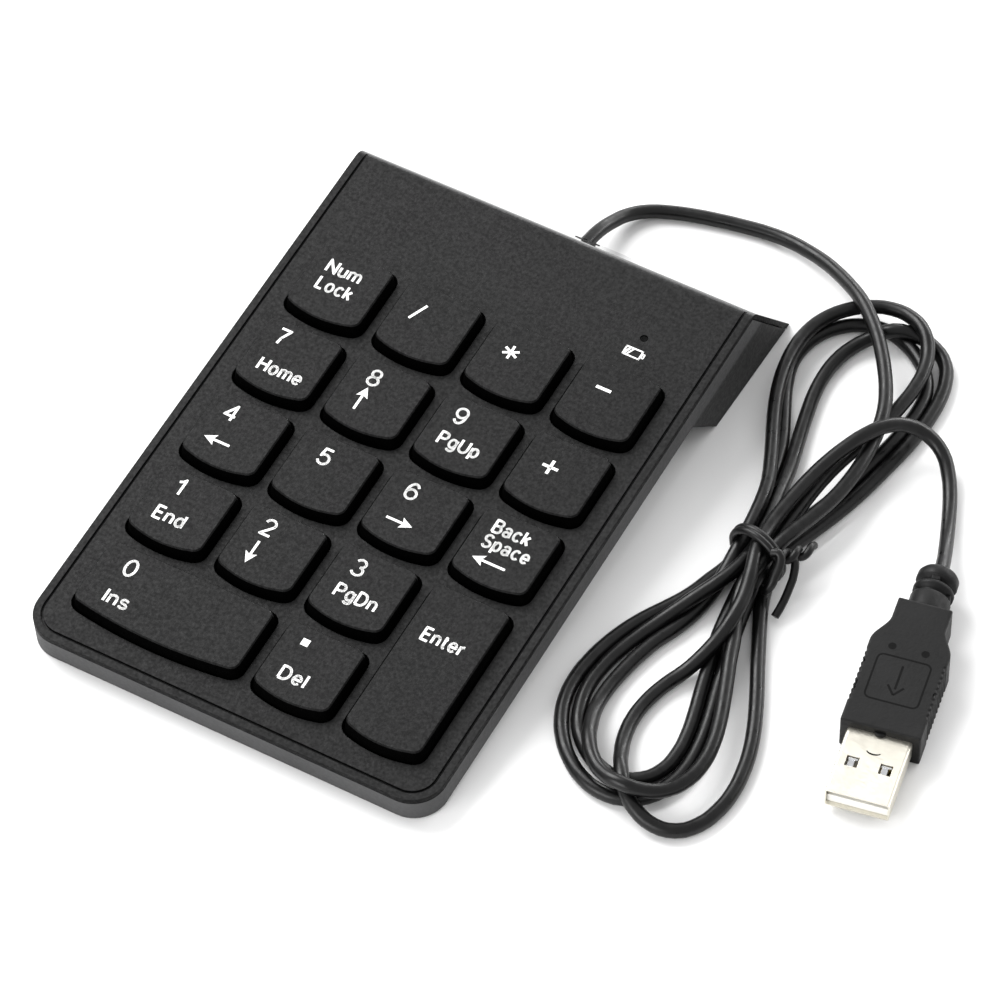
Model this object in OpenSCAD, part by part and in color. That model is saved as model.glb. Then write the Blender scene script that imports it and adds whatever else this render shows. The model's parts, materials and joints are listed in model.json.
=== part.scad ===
// Wired numeric keypad: a slim sloping slab with 18 low keys, a leaning rear foot,
// and a thin USB cable that is tied in a hank and ends in its plug.
// Millimetres. +X is the user's right, +Y is the rear, +Z is up. The origin is on the
// table, under the middle of the keypad's own box (the cable is left out of that box).

/* [Body] */
// Outer width of the body
body_w = 85.2; // [84:1:110]
// Length on the table, from the front edge to the foot's rear edge
body_length = 138; // [134:1:170]
// Length of the top plate along its slope, up to the sharp rear corner
plate_len = 123; // [121:1:130]
// Thickness of the slab
slab_t = 6; // [6:0.1:7.5]
// Slope of the slab
tilt = 5.8; // [4:0.1:8]
// Corner radius of the body's front corners
corner_r = 6.5; // [4:0.5:9]
// Radius of the roll along the rear top edge
roll_r = 3.5; // [2.5:0.5:5]
// Side and front wall thickness
wall = 1.5; // [1.2:0.1:1.9]
// Thickness of the case floor
floor_t = 1; // [0.8:0.1:1.2]
// Height of the top cover's visible edge
rim_h = 1; // [0.8:0.1:1.2]
// Width of the rim outside the groove
rim_w = 1.45; // [1.2:0.05:2]
// Length of the foot on the table
foot_len = 29.5; // [26:0.5:34]
// Distance along the slab at which the foot's front face starts
foot_start = 98.5; // [96:0.5:104]

/* [Keys] */
// Distance from key to key
pitch = 19.05; // [18.8:0.05:19.3]
// Width of a key's top
cap_w = 15.5; // [15:0.1:16]
// Depth of a key's top, over its curved front edge
cap_d = 15.8; // [15:0.1:16]
// Height of a key's top above the plate
cap_rise = 2.4; // [2.2:0.1:2.8]
// How far a key's skirt leans out
flare = 0.55; // [0.3:0.05:0.6]
// Key travel
travel = 2; // [1.6:0.1:2]
// Gap between a key's skirt and its well
well_gap = 0.35; // [0.25:0.05:0.4]
// Distance from the slab's front edge to the middle of the front row
front_row = 14.95; // [13.5:0.05:17]

/* [Fits] */
// Radial clearance of a key's stem in its sleeve
slide_gap = 0.1; // [0.08:0.01:0.1]
// Radial clearance of a stabilizer wire in its hooks
wire_gap = 0.06; // [0.04:0.01:0.08]
// General clearance between fixed parts
part_gap = 0.15; // [0.1:0.05:0.2]

/* [Cable and plug] */
// Cable diameter
cord_d = 2.8; // [2.4:0.1:3.2]
// Height of the cable's exit above the table
exit_z = 5.4; // [5.4:0.1:6]
// Height of the tied hank
hank_h = 9; // [8:0.5:12]
// Width of the USB plug's metal shell
shell_w = 12; // [12:0.1:12.1]
// Thickness of the USB plug's metal shell
shell_t = 4.5; // [4.5:0.1:4.6]
// Length of shell outside the grip
shell_len = 14.5; // [12:0.5:15]

/* [Hidden] */

$fn = 48;
eps = 0.01;

// ---- slab frame: x across, s along the slope from the front wall, h above the underside
slab_lift = 0.15;
foot_lift = 0.3;
slab_front_y = slab_t * sin(tilt) - body_length / 2;
function to_slab(y, z) = [
    (y - slab_front_y) * cos(tilt) + (z - slab_lift) * sin(tilt),
    (z - slab_lift) * cos(tilt) - (y - slab_front_y) * sin(tilt)];
rear_bottom = to_slab(body_length / 2, foot_lift);
foot_front = to_slab(body_length / 2 - foot_len, foot_lift);
foot_top = [foot_start, 0];
rear_top = [plate_len, slab_t];
// angle of the rear face below the plate's plane
rear_angle = atan2(slab_t - rear_bottom[1], rear_bottom[0] - plate_len);
// corner of the plate and the rear face, moved down by dp and in by dr
function rear_corner(dp, dr) = rear_top
    + dr * [-sin(rear_angle), -cos(rear_angle)]
    + (dp - dr * cos(rear_angle)) / sin(rear_angle) * [cos(rear_angle), -sin(rear_angle)];
// slope of the rear face above the table
rear_slope = rear_angle - tilt;
// point at height z above the table on the rear face's plane, moved in by dr
function rear_at(dr, z) =
    to_slab(body_length / 2 - dr / sin(rear_slope) - (z - foot_lift) / tan(rear_slope), z);
function rear_foot(dr) = rear_at(dr, foot_lift);
module on_slab() {
    translate([0, slab_front_y, slab_lift]) rotate([tilt, 0, 0]) children();
}
module across(w) {
    rotate([90, 0, 90]) linear_extrude(w, center = true) children();
}

plate_t = 1.4;
panel_t = 1.6;
parting_gap = 0.25;
groove_w = 0.5;
groove_d = 0.5;
plate_under = slab_t - plate_t;

// ---- stack inside the slab
backing_t = 0.4;
film_t = 0.12;
film_z = floor_t + backing_t;
film_top = film_z + 3 * film_t;
stem_clear = 0.1;
well_floor_z = film_top + 0.44;
well_floor_t = 0.6;
well_floor_top = well_floor_z + well_floor_t;
cap_top = slab_t + cap_rise;
cap_roof = 1.1;
cap_under = cap_top - cap_roof;
skirt_z = well_floor_top + travel + stem_clear;
stem_z = film_top + travel + stem_clear;
sleeve_top = cap_under - travel - stem_clear;

// ---- keys
front_bulge = 1.6;
rear_corner_r = 1.5;
front_corner_r = 1.8;
sleeve_r = 5;
sleeve_wall = 0.6;
stem_r = sleeve_r - slide_gap;
stem_bore_r = 4;
dome_r = 3.7;
hook_out = 0.5;
hook_w = 1.6;
hook_h = 0.6;
hook_z = stem_z + 0.04;
window_gap = 0.06;
pusher_r = 1.6;
pusher_z = cap_under - 2;
column_x = [-1.5 * pitch, -0.5 * pitch, 0.5 * pitch, 1.5 * pitch];
function row_s(row) = front_row + (4 - row) * pitch;
double_cap = cap_w + pitch;
double_cap_d = cap_d + pitch;
// every key: x, s, width, depth
KEYS = [
    [column_x[0], row_s(0), cap_w, cap_d], [column_x[1], row_s(0), cap_w, cap_d],
    [column_x[2], row_s(0), cap_w, cap_d], [column_x[3], row_s(0), cap_w, cap_d],
    [column_x[0], row_s(1), cap_w, cap_d], [column_x[1], row_s(1), cap_w, cap_d],
    [column_x[2], row_s(1), cap_w, cap_d], [column_x[3], row_s(1), cap_w, cap_d],
    [column_x[0], row_s(2), cap_w, cap_d], [column_x[1], row_s(2), cap_w, cap_d],
    [column_x[2], row_s(2), cap_w, cap_d], [column_x[3], row_s(2), cap_w, cap_d],
    [column_x[0], row_s(3), cap_w, cap_d], [column_x[1], row_s(3), cap_w, cap_d],
    [column_x[2], row_s(3), cap_w, cap_d],
    [column_x[3], row_s(3.5), cap_w, double_cap_d],
    [(column_x[0] + column_x[1]) / 2, row_s(4), double_cap, cap_d],
    [column_x[2], row_s(4), cap_w, cap_d]];
ENTER = 15;
ZERO = 16;

// one quarter turn or less of points on a circle
function arc(cx, cy, r, a0, a1, n) =
    [for (i = [0:n]) [cx + r * cos(a0 + (a1 - a0) * i / n), cy + r * sin(a0 + (a1 - a0) * i / n)]];
// outline of a key: straight sides and rear, a front edge that bows towards the user
function key_outline(w, d, grow) =
    let (hw = w / 2 + grow,
        rear = d / 2 + grow,
        front = -d / 2 - grow,
        big_r = (hw * hw + front_bulge * front_bulge) / (2 * front_bulge),
        rr = max(0.4, rear_corner_r + grow),
        rf = max(0.4, front_corner_r + grow),
        cy = front + big_r,
        fy = cy - sqrt(pow(big_r - rf, 2) - pow(hw - rf, 2)),
        tangent = atan2(fy - cy, hw - rf))
    concat(arc(hw - rf, fy, rf, tangent, 0, 4),
        arc(hw - rr, rear - rr, rr, 0, 90, 4),
        arc(rr - hw, rear - rr, rr, 90, 180, 4),
        arc(rf - hw, fy, rf, 180, 180 - tangent, 4),
        arc(0, cy, big_r, 180 - tangent + 1.5, 360 + tangent - 1.5, 9));
module at_key(i) {
    translate([KEYS[i][0], KEYS[i][1], 0]) children();
}
module key_slice(i, grow, z, t) {
    translate([0, 0, z]) linear_extrude(t) polygon(key_outline(KEYS[i][2], KEYS[i][3], grow));
}

// ---- stabilizer wires of the two long keys
wire_r = 0.4;
wire_arm = 8;
wire_side = 6.25;
wire_half = 12;
wire_end = 1.6;
pivot_z = well_floor_top + 1.5;
bar_rise = travel / 2;
post_t = 1.2;
post_top = pivot_z + wire_r + wire_gap + 0.4;
clip_t = 1;
clip_inset = 1;
clip_slot = 1.4;
arm_reach = sqrt(wire_arm * wire_arm - bar_rise * bar_rise);

// ---- screws
web_screw_r = 0.8;
web_screw_head_r = 1.5;
tail_screw_r = 1.1;
tail_screw_head_r = 2;
// screws between the keys, on the crossings of the webs
web_screws = [for (x = [-pitch, pitch], row = [1, 3]) [x, row_s(row) + 10.2]];
tail_screw_x = 34;
tail_screw_s = plate_len - 7;
tail_tube_r = 3.4;
tail_tube_bore = 2.5;
tail_seat_z = -1.2;
tail_seat_t = 1.4;

// ---- circuit board
board_s = row_s(0) + 13.5;
board_depth = 14;
board_x0 = -24;
board_x1 = 30;
board_t = 0.8;
board_z = film_top;
board_top = board_z + board_t;
board_screw_x = [-21, 17];
board_screw_s = board_s + 10;
led_pos = [27.1, plate_len - 14.5];
led_hole_r = 0.8;
connector_pos = [1, board_s + 11.5];

// ---- cable and plug
gland_r = 2.5;
gland_proud = 0.15;
cord_root = 1;
gland_flange_r = min(gland_r + 0.9, exit_z - foot_lift - wall - 0.1);
gland_flange_t = 1.8;
// the flange sits this far inside the sloping rear panel's outer face, clear of its inner face
gland_seat = 1 + panel_t / sin(rear_slope) + gland_flange_r / tan(rear_slope);
exit_x = 1;
exit_y = body_length / 2 - (exit_z - foot_lift) / tan(rear_slope);
gland_end = exit_y - cord_root;
table_z = cord_d / 2 + 0.1;
// the loose cable lies beside the body, so its places are counted from the body's rear right
// corner on the table
function beside(dx, dy, z) = [body_w / 2 + dx, body_length / 2 + dy, z];
function behind(x, dy, z) = [x, body_length / 2 + dy, z];
lead_route = [[exit_x, gland_end, exit_z], behind(1.3, 0.2, exit_z - 0.6), behind(1.7, 3.4, exit_z - 1.6),
    behind(2.1, 6.6, exit_z - 2.7), behind(2.9, 9.4, table_z + 0.4), behind(4.6, 11.4, table_z),
    behind(7.2, 12.7, table_z), behind(9.9, 13.6, table_z), behind(13.1, 14.7, table_z),
    behind(19.3, 16.2, table_z), behind(26.2, 17.6, table_z), beside(-12.9, 18.2, table_z),
    beside(-9.4, 18.4, table_z), beside(-4.6, 17.8, table_z), beside(0.4, 16.5, table_z), beside(4.9, 14.3, table_z),
    beside(8.4, 11.6, table_z), beside(12, 8, table_z)];
plug_route = [beside(35.4, -13.6, 3.8), beside(37.9, -13.6, 3), beside(40.8, -15.4, 2.1),
    beside(43.6, -19, 1.6), beside(46.8, -24.8, table_z), beside(49.2, -30.4, 1.9),
    beside(51.2, -35.6, 3), beside(53, -40.4, 4.4), beside(54.26, -44.6, 5.38)];
// the hank's two ends and its waist: place and radius
hank_top = beside(19.4, -7, 17);
hank_waist = beside(24.9, -57, 7);
hank_low = beside(25.4, -99, 20.6);
plug_pos = beside(61.8, -83.4, 4);
plug_turn = 11;
plug_dip = 2;
grip_w = 15;
grip_t = 7.8;
grip_len = 21.5;
shoulder_len = 8;
relief_len = 10;
relief_r = 3.6;
shell_wall = 0.3;
shell_back = 6;

// ================= housing =================

// outline of the slab from above, with rounded front corners, made smaller by inset
module plan(inset) {
    r = corner_r - inset;
    w = body_w - 2 * inset;
    translate([-w / 2, inset + r]) square([w, plate_len + body_length / 4]);
    translate([r - w / 2, inset]) square([w - 2 * r, r + eps]);
    for (x = [r - w / 2, w / 2 - r]) translate([x, inset + r]) circle(r);
}
module plan_block(inset, z0, z1) {
    translate([0, 0, z0]) linear_extrude(z1 - z0) plan(inset);
}
// side view of the cover: plate dp thick and rear panel dr thick, with the rolled corner
module cover_profile(dp, dr) {
    reach = roll_r * tan(rear_angle / 2);
    roll = rear_top + [-reach, -roll_r];
    roll_end = rear_top + reach * [cos(rear_angle), -sin(rear_angle)];
    polygon([[0, slab_t - dp], [0, slab_t], rear_top - [reach, 0], roll_end,
        rear_bottom, rear_foot(dr), rear_corner(dp, dr)]);
    intersection() {
        translate(roll) circle(roll_r);
        polygon([rear_top - [reach, dp], rear_top - [reach, 0], rear_top, roll_end,
            rear_corner(dp, dr)]);
    }
}
module key_wells() {
    for (i = [0:len(KEYS) - 1]) at_key(i) key_slice(i, flare + well_gap, well_floor_top, slab_t);
}
module sleeve() {
    difference() {
        translate([0, 0, well_floor_z]) cylinder(h = sleeve_top - well_floor_z, r = sleeve_r + sleeve_wall);
        translate([0, 0, well_floor_z - 1]) cylinder(h = slab_t + 2, r = sleeve_r);
        snap_windows();
    }
}
module snap_windows() {
    for (side = [-1, 1])
        translate([side * (sleeve_r + 0.3) - 0.6, -hook_w / 2 - 0.2, well_floor_z - 1])
            cube([1.2, hook_w + 0.4, hook_z + hook_h + window_gap - well_floor_z + 1]);
}
// post with a hole that holds one bent end of a stabilizer wire
module wire_post() {
    translate([-post_t / 2, 0, 0]) difference() {
        translate([0, -1, well_floor_z]) cube([post_t, 2, post_top - well_floor_z]);
        translate([-1, 0, pivot_z]) rotate([0, 90, 0]) cylinder(h = post_t + 2, r = wire_r + wire_gap);
    }
}
// places children at the two wire posts of a long key, in the key's own frame
module at_wire_posts() {
    for (side = [-1, 1]) translate([side * (wire_half + wire_r + 0.2 + post_t / 2), wire_side - arm_reach, 0])
        children();
}
module enter_turn() {
    rotate([0, 0, -90]) children();
}
module clip_pits() {
    for (side = [-1, 1]) translate([side * (wire_half - 2) - 0.9, wire_side - 1.3, well_floor_z - 1])
        cube([1.8, 2.7, well_floor_t + 2]);
}
module cover_body() {
    field_x = column_x[3] + cap_w / 2 + flare + well_gap + 0.9;
    field_s0 = row_s(4) - cap_d / 2 - flare - well_gap - 0.9;
    field_s1 = row_s(0) + cap_d / 2 + flare + well_gap + 0.9;
    difference() {
        union() {
            intersection() {
                across(body_w) cover_profile(rim_h, rim_h);
                plan_block(0, -body_length / 4, slab_t + 1);
            }
            intersection() {
                across(body_w - 2 * wall - 2 * part_gap) cover_profile(plate_t, panel_t);
                plan_block(wall + part_gap, -body_length / 4, slab_t + 1);
            }
            translate([-field_x, field_s0, well_floor_z])
                cube([2 * field_x, field_s1 - field_s0, plate_under - well_floor_z + eps]);
        }
        key_wells();
        groove();
    }
}
module groove() {
    difference() {
        plan_block(rim_w, slab_t - groove_d, slab_t + 1);
        plan_block(rim_w + groove_w, slab_t - groove_d - 1, slab_t + 2);
    }
}
module board_posts() {
    for (x = board_screw_x) translate([x, board_screw_s, board_top])
        cylinder(h = plate_under - board_top + eps, r = 2.2);
}
module tail_bosses() {
    for (side = [-1, 1]) translate([side * tail_screw_x, tail_screw_s, tail_seat_z + tail_seat_t])
        cylinder(h = plate_under - tail_seat_z - tail_seat_t + eps, r = 2.6);
}
module top_cover() {
    color("#3f3f41") on_slab() difference() {
        union() {
            cover_body();
            for (i = [0:len(KEYS) - 1]) at_key(i) sleeve();
            at_key(ZERO) at_wire_posts() wire_post();
            at_key(ENTER) enter_turn() at_wire_posts() wire_post();
            board_posts();
            tail_bosses();
        }
        for (i = [0:len(KEYS) - 1]) at_key(i) {
            translate([0, 0, well_floor_z - 1]) cylinder(h = well_floor_t + 2, r = sleeve_r);
            snap_windows();
        }
        at_key(ZERO) clip_pits();
        at_key(ENTER) enter_turn() clip_pits();
        for (p = web_screws) translate([p[0], p[1], well_floor_z - 1]) cylinder(h = 4, r = web_screw_r);
        for (side = [-1, 1]) translate([side * tail_screw_x, tail_screw_s, tail_seat_z])
            cylinder(h = plate_under - tail_seat_z - 0.4, r = tail_screw_r);
        for (x = board_screw_x) translate([x, board_screw_s, board_top - 1]) cylinder(h = 2.6, r = web_screw_r);
        translate([led_pos[0], led_pos[1], plate_under - 1]) cylinder(h = plate_t + 2, r = led_hole_r);
        translate([exit_x, 0, 0]) gland_hole();
    }
}
module gland_hole() {
    rotate([-tilt, 0, 0]) translate([0, -slab_front_y, -slab_lift]) translate([0, exit_y - gland_seat - 1, exit_z])
        rotate([-90, 0, 0]) cylinder(h = gland_seat + 9, r = gland_r);
}

// outer side view of the case below the parting line
module case_profile() {
    dp = rim_h + parting_gap;
    polygon([[0, 0], [0, slab_t - dp], rear_corner(dp, dp), rear_foot(dp), foot_front, foot_top]);
}
// the hollow inside the case: the slab's inside, open at the top, and the inside of the foot,
// open behind, where the cover's rear panel comes down to the table
module case_hollow_profile() {
    floor_end = foot_start + 9;
    panel_room = panel_t + part_gap;
    foot_wall = wall * 1.3;
    polygon([[wall, floor_t], [wall, slab_t + 1], rear_corner(-1, -1), rear_at(-2, -1),
        rear_at(panel_room, -1), rear_at(panel_room, foot_lift + wall),
        foot_front + [foot_wall, wall], foot_top + [foot_wall, 0],
        [floor_end, 0], [floor_end, floor_t]]);
}
module bottom_case() {
    color("#5a5a5c") difference() {
        union() {
            on_slab() difference() {
                intersection() {
                    across(body_w) case_profile();
                    plan_block(0, -body_length / 4, slab_t + 1);
                }
                intersection() {
                    across(body_w - 2 * wall) case_hollow_profile();
                    plan_block(wall, -body_length / 4, slab_t + 2);
                }
            }
            on_slab() tail_tubes();
            on_slab() for (x = [board_x0 + 3, board_x1 - 3])
                translate([x - 1.5, board_s + 1, floor_t - eps])
                    cube([3, 2, board_z - floor_t + eps]);
        }
        on_slab() for (side = [-1, 1]) translate([side * tail_screw_x, tail_screw_s, 0]) {
            translate([0, 0, tail_seat_z - body_length]) cylinder(h = body_length, r = tail_tube_bore);
            translate([0, 0, tail_seat_z - 1]) cylinder(h = 4, r = tail_screw_r + 0.1);
        }
        on_slab() for (p = web_screws) translate([p[0], p[1], -1]) {
            cylinder(h = 4, r = web_screw_r + 0.1);
            cylinder(h = 1.6, r = web_screw_head_r + 0.1);
        }
    }
}
module tail_tubes() {
    intersection() {
        across(body_w) case_profile();
        for (side = [-1, 1]) translate([side * tail_screw_x, tail_screw_s, -body_length / 4])
            cylinder(h = body_length / 4 + tail_seat_z + tail_seat_t, r = tail_tube_r);
    }
}

// ================= keys =================

module cap_stem() {
    difference() {
        translate([0, 0, stem_z]) cylinder(h = cap_under - stem_z + eps, r = stem_r);
        translate([0, 0, stem_z - 1]) cylinder(h = cap_under - stem_z + 1, r = stem_bore_r);
    }
    translate([0, 0, pusher_z]) cylinder(h = cap_under - pusher_z + eps, r = pusher_r);
    for (side = [-1, 1]) translate([side * (stem_r + (hook_out - 0.4) / 2), 0, hook_z + hook_h / 2])
        cube([hook_out + 0.4, hook_w, hook_h], center = true);
}
// two ribs under a long key, with slots that hold the stabilizer wire
module wire_clips() {
    bar_z = pivot_z + bar_rise;
    for (side = [-1, 1]) translate([side * (wire_half - 2), wire_side, 0]) difference() {
        translate([-clip_t / 2, -clip_inset, bar_z - wire_r - wire_gap - 0.45])
            cube([clip_t, clip_inset + 0.75, cap_under - bar_z + wire_r + wire_gap + 0.45 + eps]);
        translate([-1, -clip_slot / 2, bar_z - wire_r - wire_gap])
            cube([2, clip_slot, 2 * wire_r + 2 * wire_gap]);
    }
}
module keycap(i) {
    color("#3d3d3f") on_slab() at_key(i) {
        difference() {
            hull() {
                key_slice(i, flare, skirt_z, eps);
                key_slice(i, 0, cap_top - 0.3, eps);
                key_slice(i, -0.22, cap_top - eps, eps);
            }
            hull() {
                key_slice(i, flare - 0.9, skirt_z - eps, eps);
                key_slice(i, -0.95, cap_under - eps, eps);
            }
        }
        cap_stem();
        if (i == ZERO) wire_clips();
        if (i == ENTER) enter_turn() wire_clips();
    }
}
module key_num_lock() keycap(0);
module key_divide() keycap(1);
module key_multiply() keycap(2);
module key_minus() keycap(3);
module key_7() keycap(4);
module key_8() keycap(5);
module key_9() keycap(6);
module key_plus() keycap(7);
module key_4() keycap(8);
module key_5() keycap(9);
module key_6() keycap(10);
module key_backspace() keycap(11);
module key_1() keycap(12);
module key_2() keycap(13);
module key_3() keycap(14);
module key_enter() keycap(ENTER);
module key_0() keycap(ZERO);
module key_decimal() keycap(17);

// steel wire that keeps a long key level: bar under the key, two arms, two bent ends
module stabilizer_wire() {
    bar_z = pivot_z + bar_rise;
    bend_r = wire_r * 1.06;
    translate([-wire_half, wire_side, bar_z]) rotate([0, 90, 0]) cylinder(h = 2 * wire_half, r = wire_r);
    for (side = [-1, 1]) translate([side * wire_half, wire_side, bar_z]) {
        sphere(bend_r);
        rotate([90 + asin(bar_rise / wire_arm), 0, 0]) cylinder(h = wire_arm, r = wire_r);
        translate([0, -arm_reach, -bar_rise]) {
            sphere(bend_r);
            rotate([0, side * 90, 0]) cylinder(h = wire_end, r = wire_r);
        }
    }
}
module zero_stabilizer() {
    color("#c9ccd0") on_slab() at_key(ZERO) stabilizer_wire();
}
module enter_stabilizer() {
    color("#c9ccd0") on_slab() at_key(ENTER) enter_turn() stabilizer_wire();
}

// ================= switch layers =================

module dome() {
    height = pusher_z - film_top - 0.02;
    skin = 0.3;
    translate([0, 0, film_top]) rotate_extrude() polygon([
        [dome_r - 0.9, 0], [dome_r, 0], [dome_r, skin], [dome_r - 0.6, skin],
        [2.3, height - 0.5], [1.9, height], [0, height], [0, height - 0.9],
        [1.5, height - 0.9], [1.9, height - 1.1], [dome_r - 1.1, skin]]);
}
module silicone_domes() {
    color("#d9d9d2") on_slab() for (i = [0:len(KEYS) - 1]) at_key(i) dome();
}
film_x = column_x[3] + 8.4;
film_s0 = row_s(4) - 8.2;
film_s1 = row_s(0) + 9;
module film(layer, holes_r) {
    tongue_w = 16;
    tongue_x = -14;
    translate([0, 0, film_z + layer * film_t]) linear_extrude(film_t) difference() {
        union() {
            translate([-film_x, film_s0]) square([2 * film_x, film_s1 - film_s0]);
            translate([tongue_x, film_s1 - eps]) square([tongue_w, board_s + 4 - film_s1]);
        }
        if (holes_r > 0) for (key = KEYS) translate([key[0], key[1]]) circle(holes_r);
        for (p = web_screws) translate(p) circle(web_screw_r + 0.4);
    }
}
module membrane_bottom() {
    color("#b9c7cf") on_slab() film(0, 0);
}
module membrane_spacer() {
    color("#c9d3d8") on_slab() film(1, 2.5);
}
module membrane_top() {
    color("#b9c7cf") on_slab() film(2, 0);
}
module backing_plate() {
    color("#8d9196") on_slab() difference() {
        translate([-film_x, film_s0, floor_t]) cube([2 * film_x, film_s1 - film_s0, backing_t]);
        for (p = web_screws) translate([p[0], p[1], 0]) cylinder(h = 3, r = web_screw_head_r + 0.3);
    }
}

// ================= electronics =================

module circuit_board() {
    color("#1f5c3a") on_slab() difference() {
        translate([board_x0, board_s, board_z]) cube([board_x1 - board_x0, board_depth, board_t]);
        for (x = board_screw_x) translate([x, board_screw_s, 0]) cylinder(h = 5, r = web_screw_r + 0.1);
    }
}
module controller_chip() {
    chip = [9, 4, 1.2];
    lead_len = 0.7;
    color("#1a1a1c") on_slab() translate([-8, board_s + 4, board_top]) {
        translate([0, 0, 0.1]) cube(chip);
        for (i = [0:7], side = [0, 1])
            translate([0.35 + i * 1.1, side * (chip[1] + lead_len) - lead_len, 0]) cube([0.5, lead_len, 0.6]);
    }
}
module board_parts() {
    crystal = [5, 2, 1.2];
    resistor = [0.9, 1.7, 0.6];
    resistor_step = 1.9;
    color("#b8a27a") on_slab() {
        translate([7, board_s + 3.2, board_top]) cube(crystal);
        for (i = [0:4]) translate([-17 + i * resistor_step, board_s + 10, board_top]) cube(resistor);
        for (i = [0:2]) translate([22 + i * resistor_step, board_s + 9.6, board_top]) cube(resistor);
    }
}
module status_led() {
    color("#e8e6d8") on_slab() translate([led_pos[0], led_pos[1], board_top]) {
        base_h = 0.35;
        translate([-0.8, -0.4, 0]) cube([1.6, 0.8, base_h]);
        translate([-0.5, -0.4, base_h]) cube([1, 0.8, 0.3]);
    }
}
module led_lens() {
    color("#8f9a94") on_slab() translate([led_pos[0], led_pos[1], 0]) {
        translate([0, 0, plate_under - 0.4]) cylinder(h = 0.4, r = 1.6);
        translate([0, 0, plate_under - 0.6]) cylinder(h = plate_t + 0.4, r = led_hole_r - 0.05);
    }
}
module membrane_clamp() {
    color("#2c2c2e") on_slab() translate([-15, board_s + 0.6, floor_t]) cube([18, 3, film_z - floor_t]);
}
module cable_connector() {
    size = [8, 4, 4];
    side_t = 0.6;
    color("#e9e7df") on_slab()
        translate([connector_pos[0] - size[0] / 2, connector_pos[1] - size[1] / 2, board_z - size[2]])
        difference() {
            cube(size);
            translate([side_t, side_t + 0.1, -1]) cube([size[0] - 2 * side_t, size[1] - 2 * side_t - 0.2, 3]);
        }
}
module rod(from, to, r) {
    d = to - from;
    translate(from) rotate([0, acos(d[2] / norm(d)), atan2(d[1], d[0])]) cylinder(h = norm(d), r = r, $fn = 16);
}
// four thin wires from the cable's end inside the foot up to the connector
module cable_wires() {
    wire_r = 0.35;
    wire_step = 0.8;
    start_y = exit_y - gland_seat - gland_flange_t - 0.6;
    for (i = [0:3]) color(["#b02a2a", "#e8e8e8", "#2f7d3a", "#1b1b1b"][i]) {
        x0 = exit_x + (i - 1.5) * wire_step;
        x1 = connector_pos[0] + (i - 1.5) * 2 * wire_step;
        mid_y = (start_y + slab_front_y + connector_pos[1]) / 2;
        mid = [(x0 + x1) / 2, mid_y, exit_z + 1];
        rod([x0, start_y, exit_z], mid, wire_r);
        translate(mid) sphere(wire_r + 0.05, $fn = 16);
        rod(mid, [x1, slab_front_y + connector_pos[1], 9.3], wire_r);
    }
}

// ================= fasteners and feet =================

module screw(r, head_r, length, head_h) {
    difference() {
        union() {
            cylinder(h = length, r = r);
            translate([0, 0, -head_h]) cylinder(h = head_h, r = head_r);
        }
        for (turn = [0, 90]) rotate([0, 0, turn]) translate([-head_r * 0.6, -0.15, -head_h - 1])
            cube([head_r * 1.2, 0.3, 1 + head_h * 0.5]);
    }
}
module case_screws() {
    color("#7d8084") on_slab() for (p = web_screws) translate([p[0], p[1], 0.6])
        screw(web_screw_r, web_screw_head_r, 3.8, 0.5);
}
module tail_screws() {
    color("#7d8084") on_slab() for (side = [-1, 1]) translate([side * tail_screw_x, tail_screw_s, tail_seat_z])
        screw(tail_screw_r, tail_screw_head_r, 5, 1.2);
}
module board_screws() {
    color("#7d8084") on_slab() for (x = board_screw_x) translate([x, board_screw_s, board_z])
        screw(web_screw_r, web_screw_head_r, 2.2, 0.6);
}
foot_x = 30;
module front_feet() {
    color("#2a2a2a") intersection() {
        on_slab() for (side = [-1, 1]) translate([side * foot_x - 5, 3, -3]) cube([10, 8, 3]);
        translate([-body_w, -body_length, 0]) cube([2 * body_w, 2 * body_length, 10]);
    }
}
module rear_feet() {
    color("#2a2a2a") for (side = [-1, 1])
        translate([side * foot_x - 6, body_length / 2 - foot_len / 2 - 4, 0]) cube([12, 8, foot_lift]);
}

// ================= cable =================

// the gland is trimmed along the slope of the rear face, and stands just proud of it
module cable_gland() {
    reach = 2 * gland_flange_r;
    inner = -gland_seat - gland_flange_t;
    color("#202022") translate([exit_x, exit_y, exit_z]) intersection() {
        rotate([-90, 0, 0]) {
            translate([0, 0, inner]) cylinder(h = gland_flange_t, r = gland_flange_r);
            translate([0, 0, inner + gland_flange_t - 0.2])
                cylinder(h = gland_seat + 0.2 + reach / tan(rear_slope), r = gland_r - 0.05);
        }
        rotate([90, 0, 90]) linear_extrude(2 * reach, center = true) polygon([
            [inner - 1, -reach], [reach / tan(rear_slope) + gland_proud, -reach],
            [-reach / tan(rear_slope) + gland_proud, reach], [inner - 1, reach]]);
    }
}
// direction of the route at each point, and the rings of a tube along it
function unit(v) = v / norm(v);
function heading(p, i) = unit(p[min(i + 1, len(p) - 1)] - p[max(i - 1, 0)]);
function ring(p, i, r, sides) =
    let (t = heading(p, i), side = unit(cross(t, [0, 0, 1])), up = cross(side, t))
    [for (k = [0:sides - 1]) p[i] + r * (cos(360 * k / sides) * side + sin(360 * k / sides) * up)];
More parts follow.
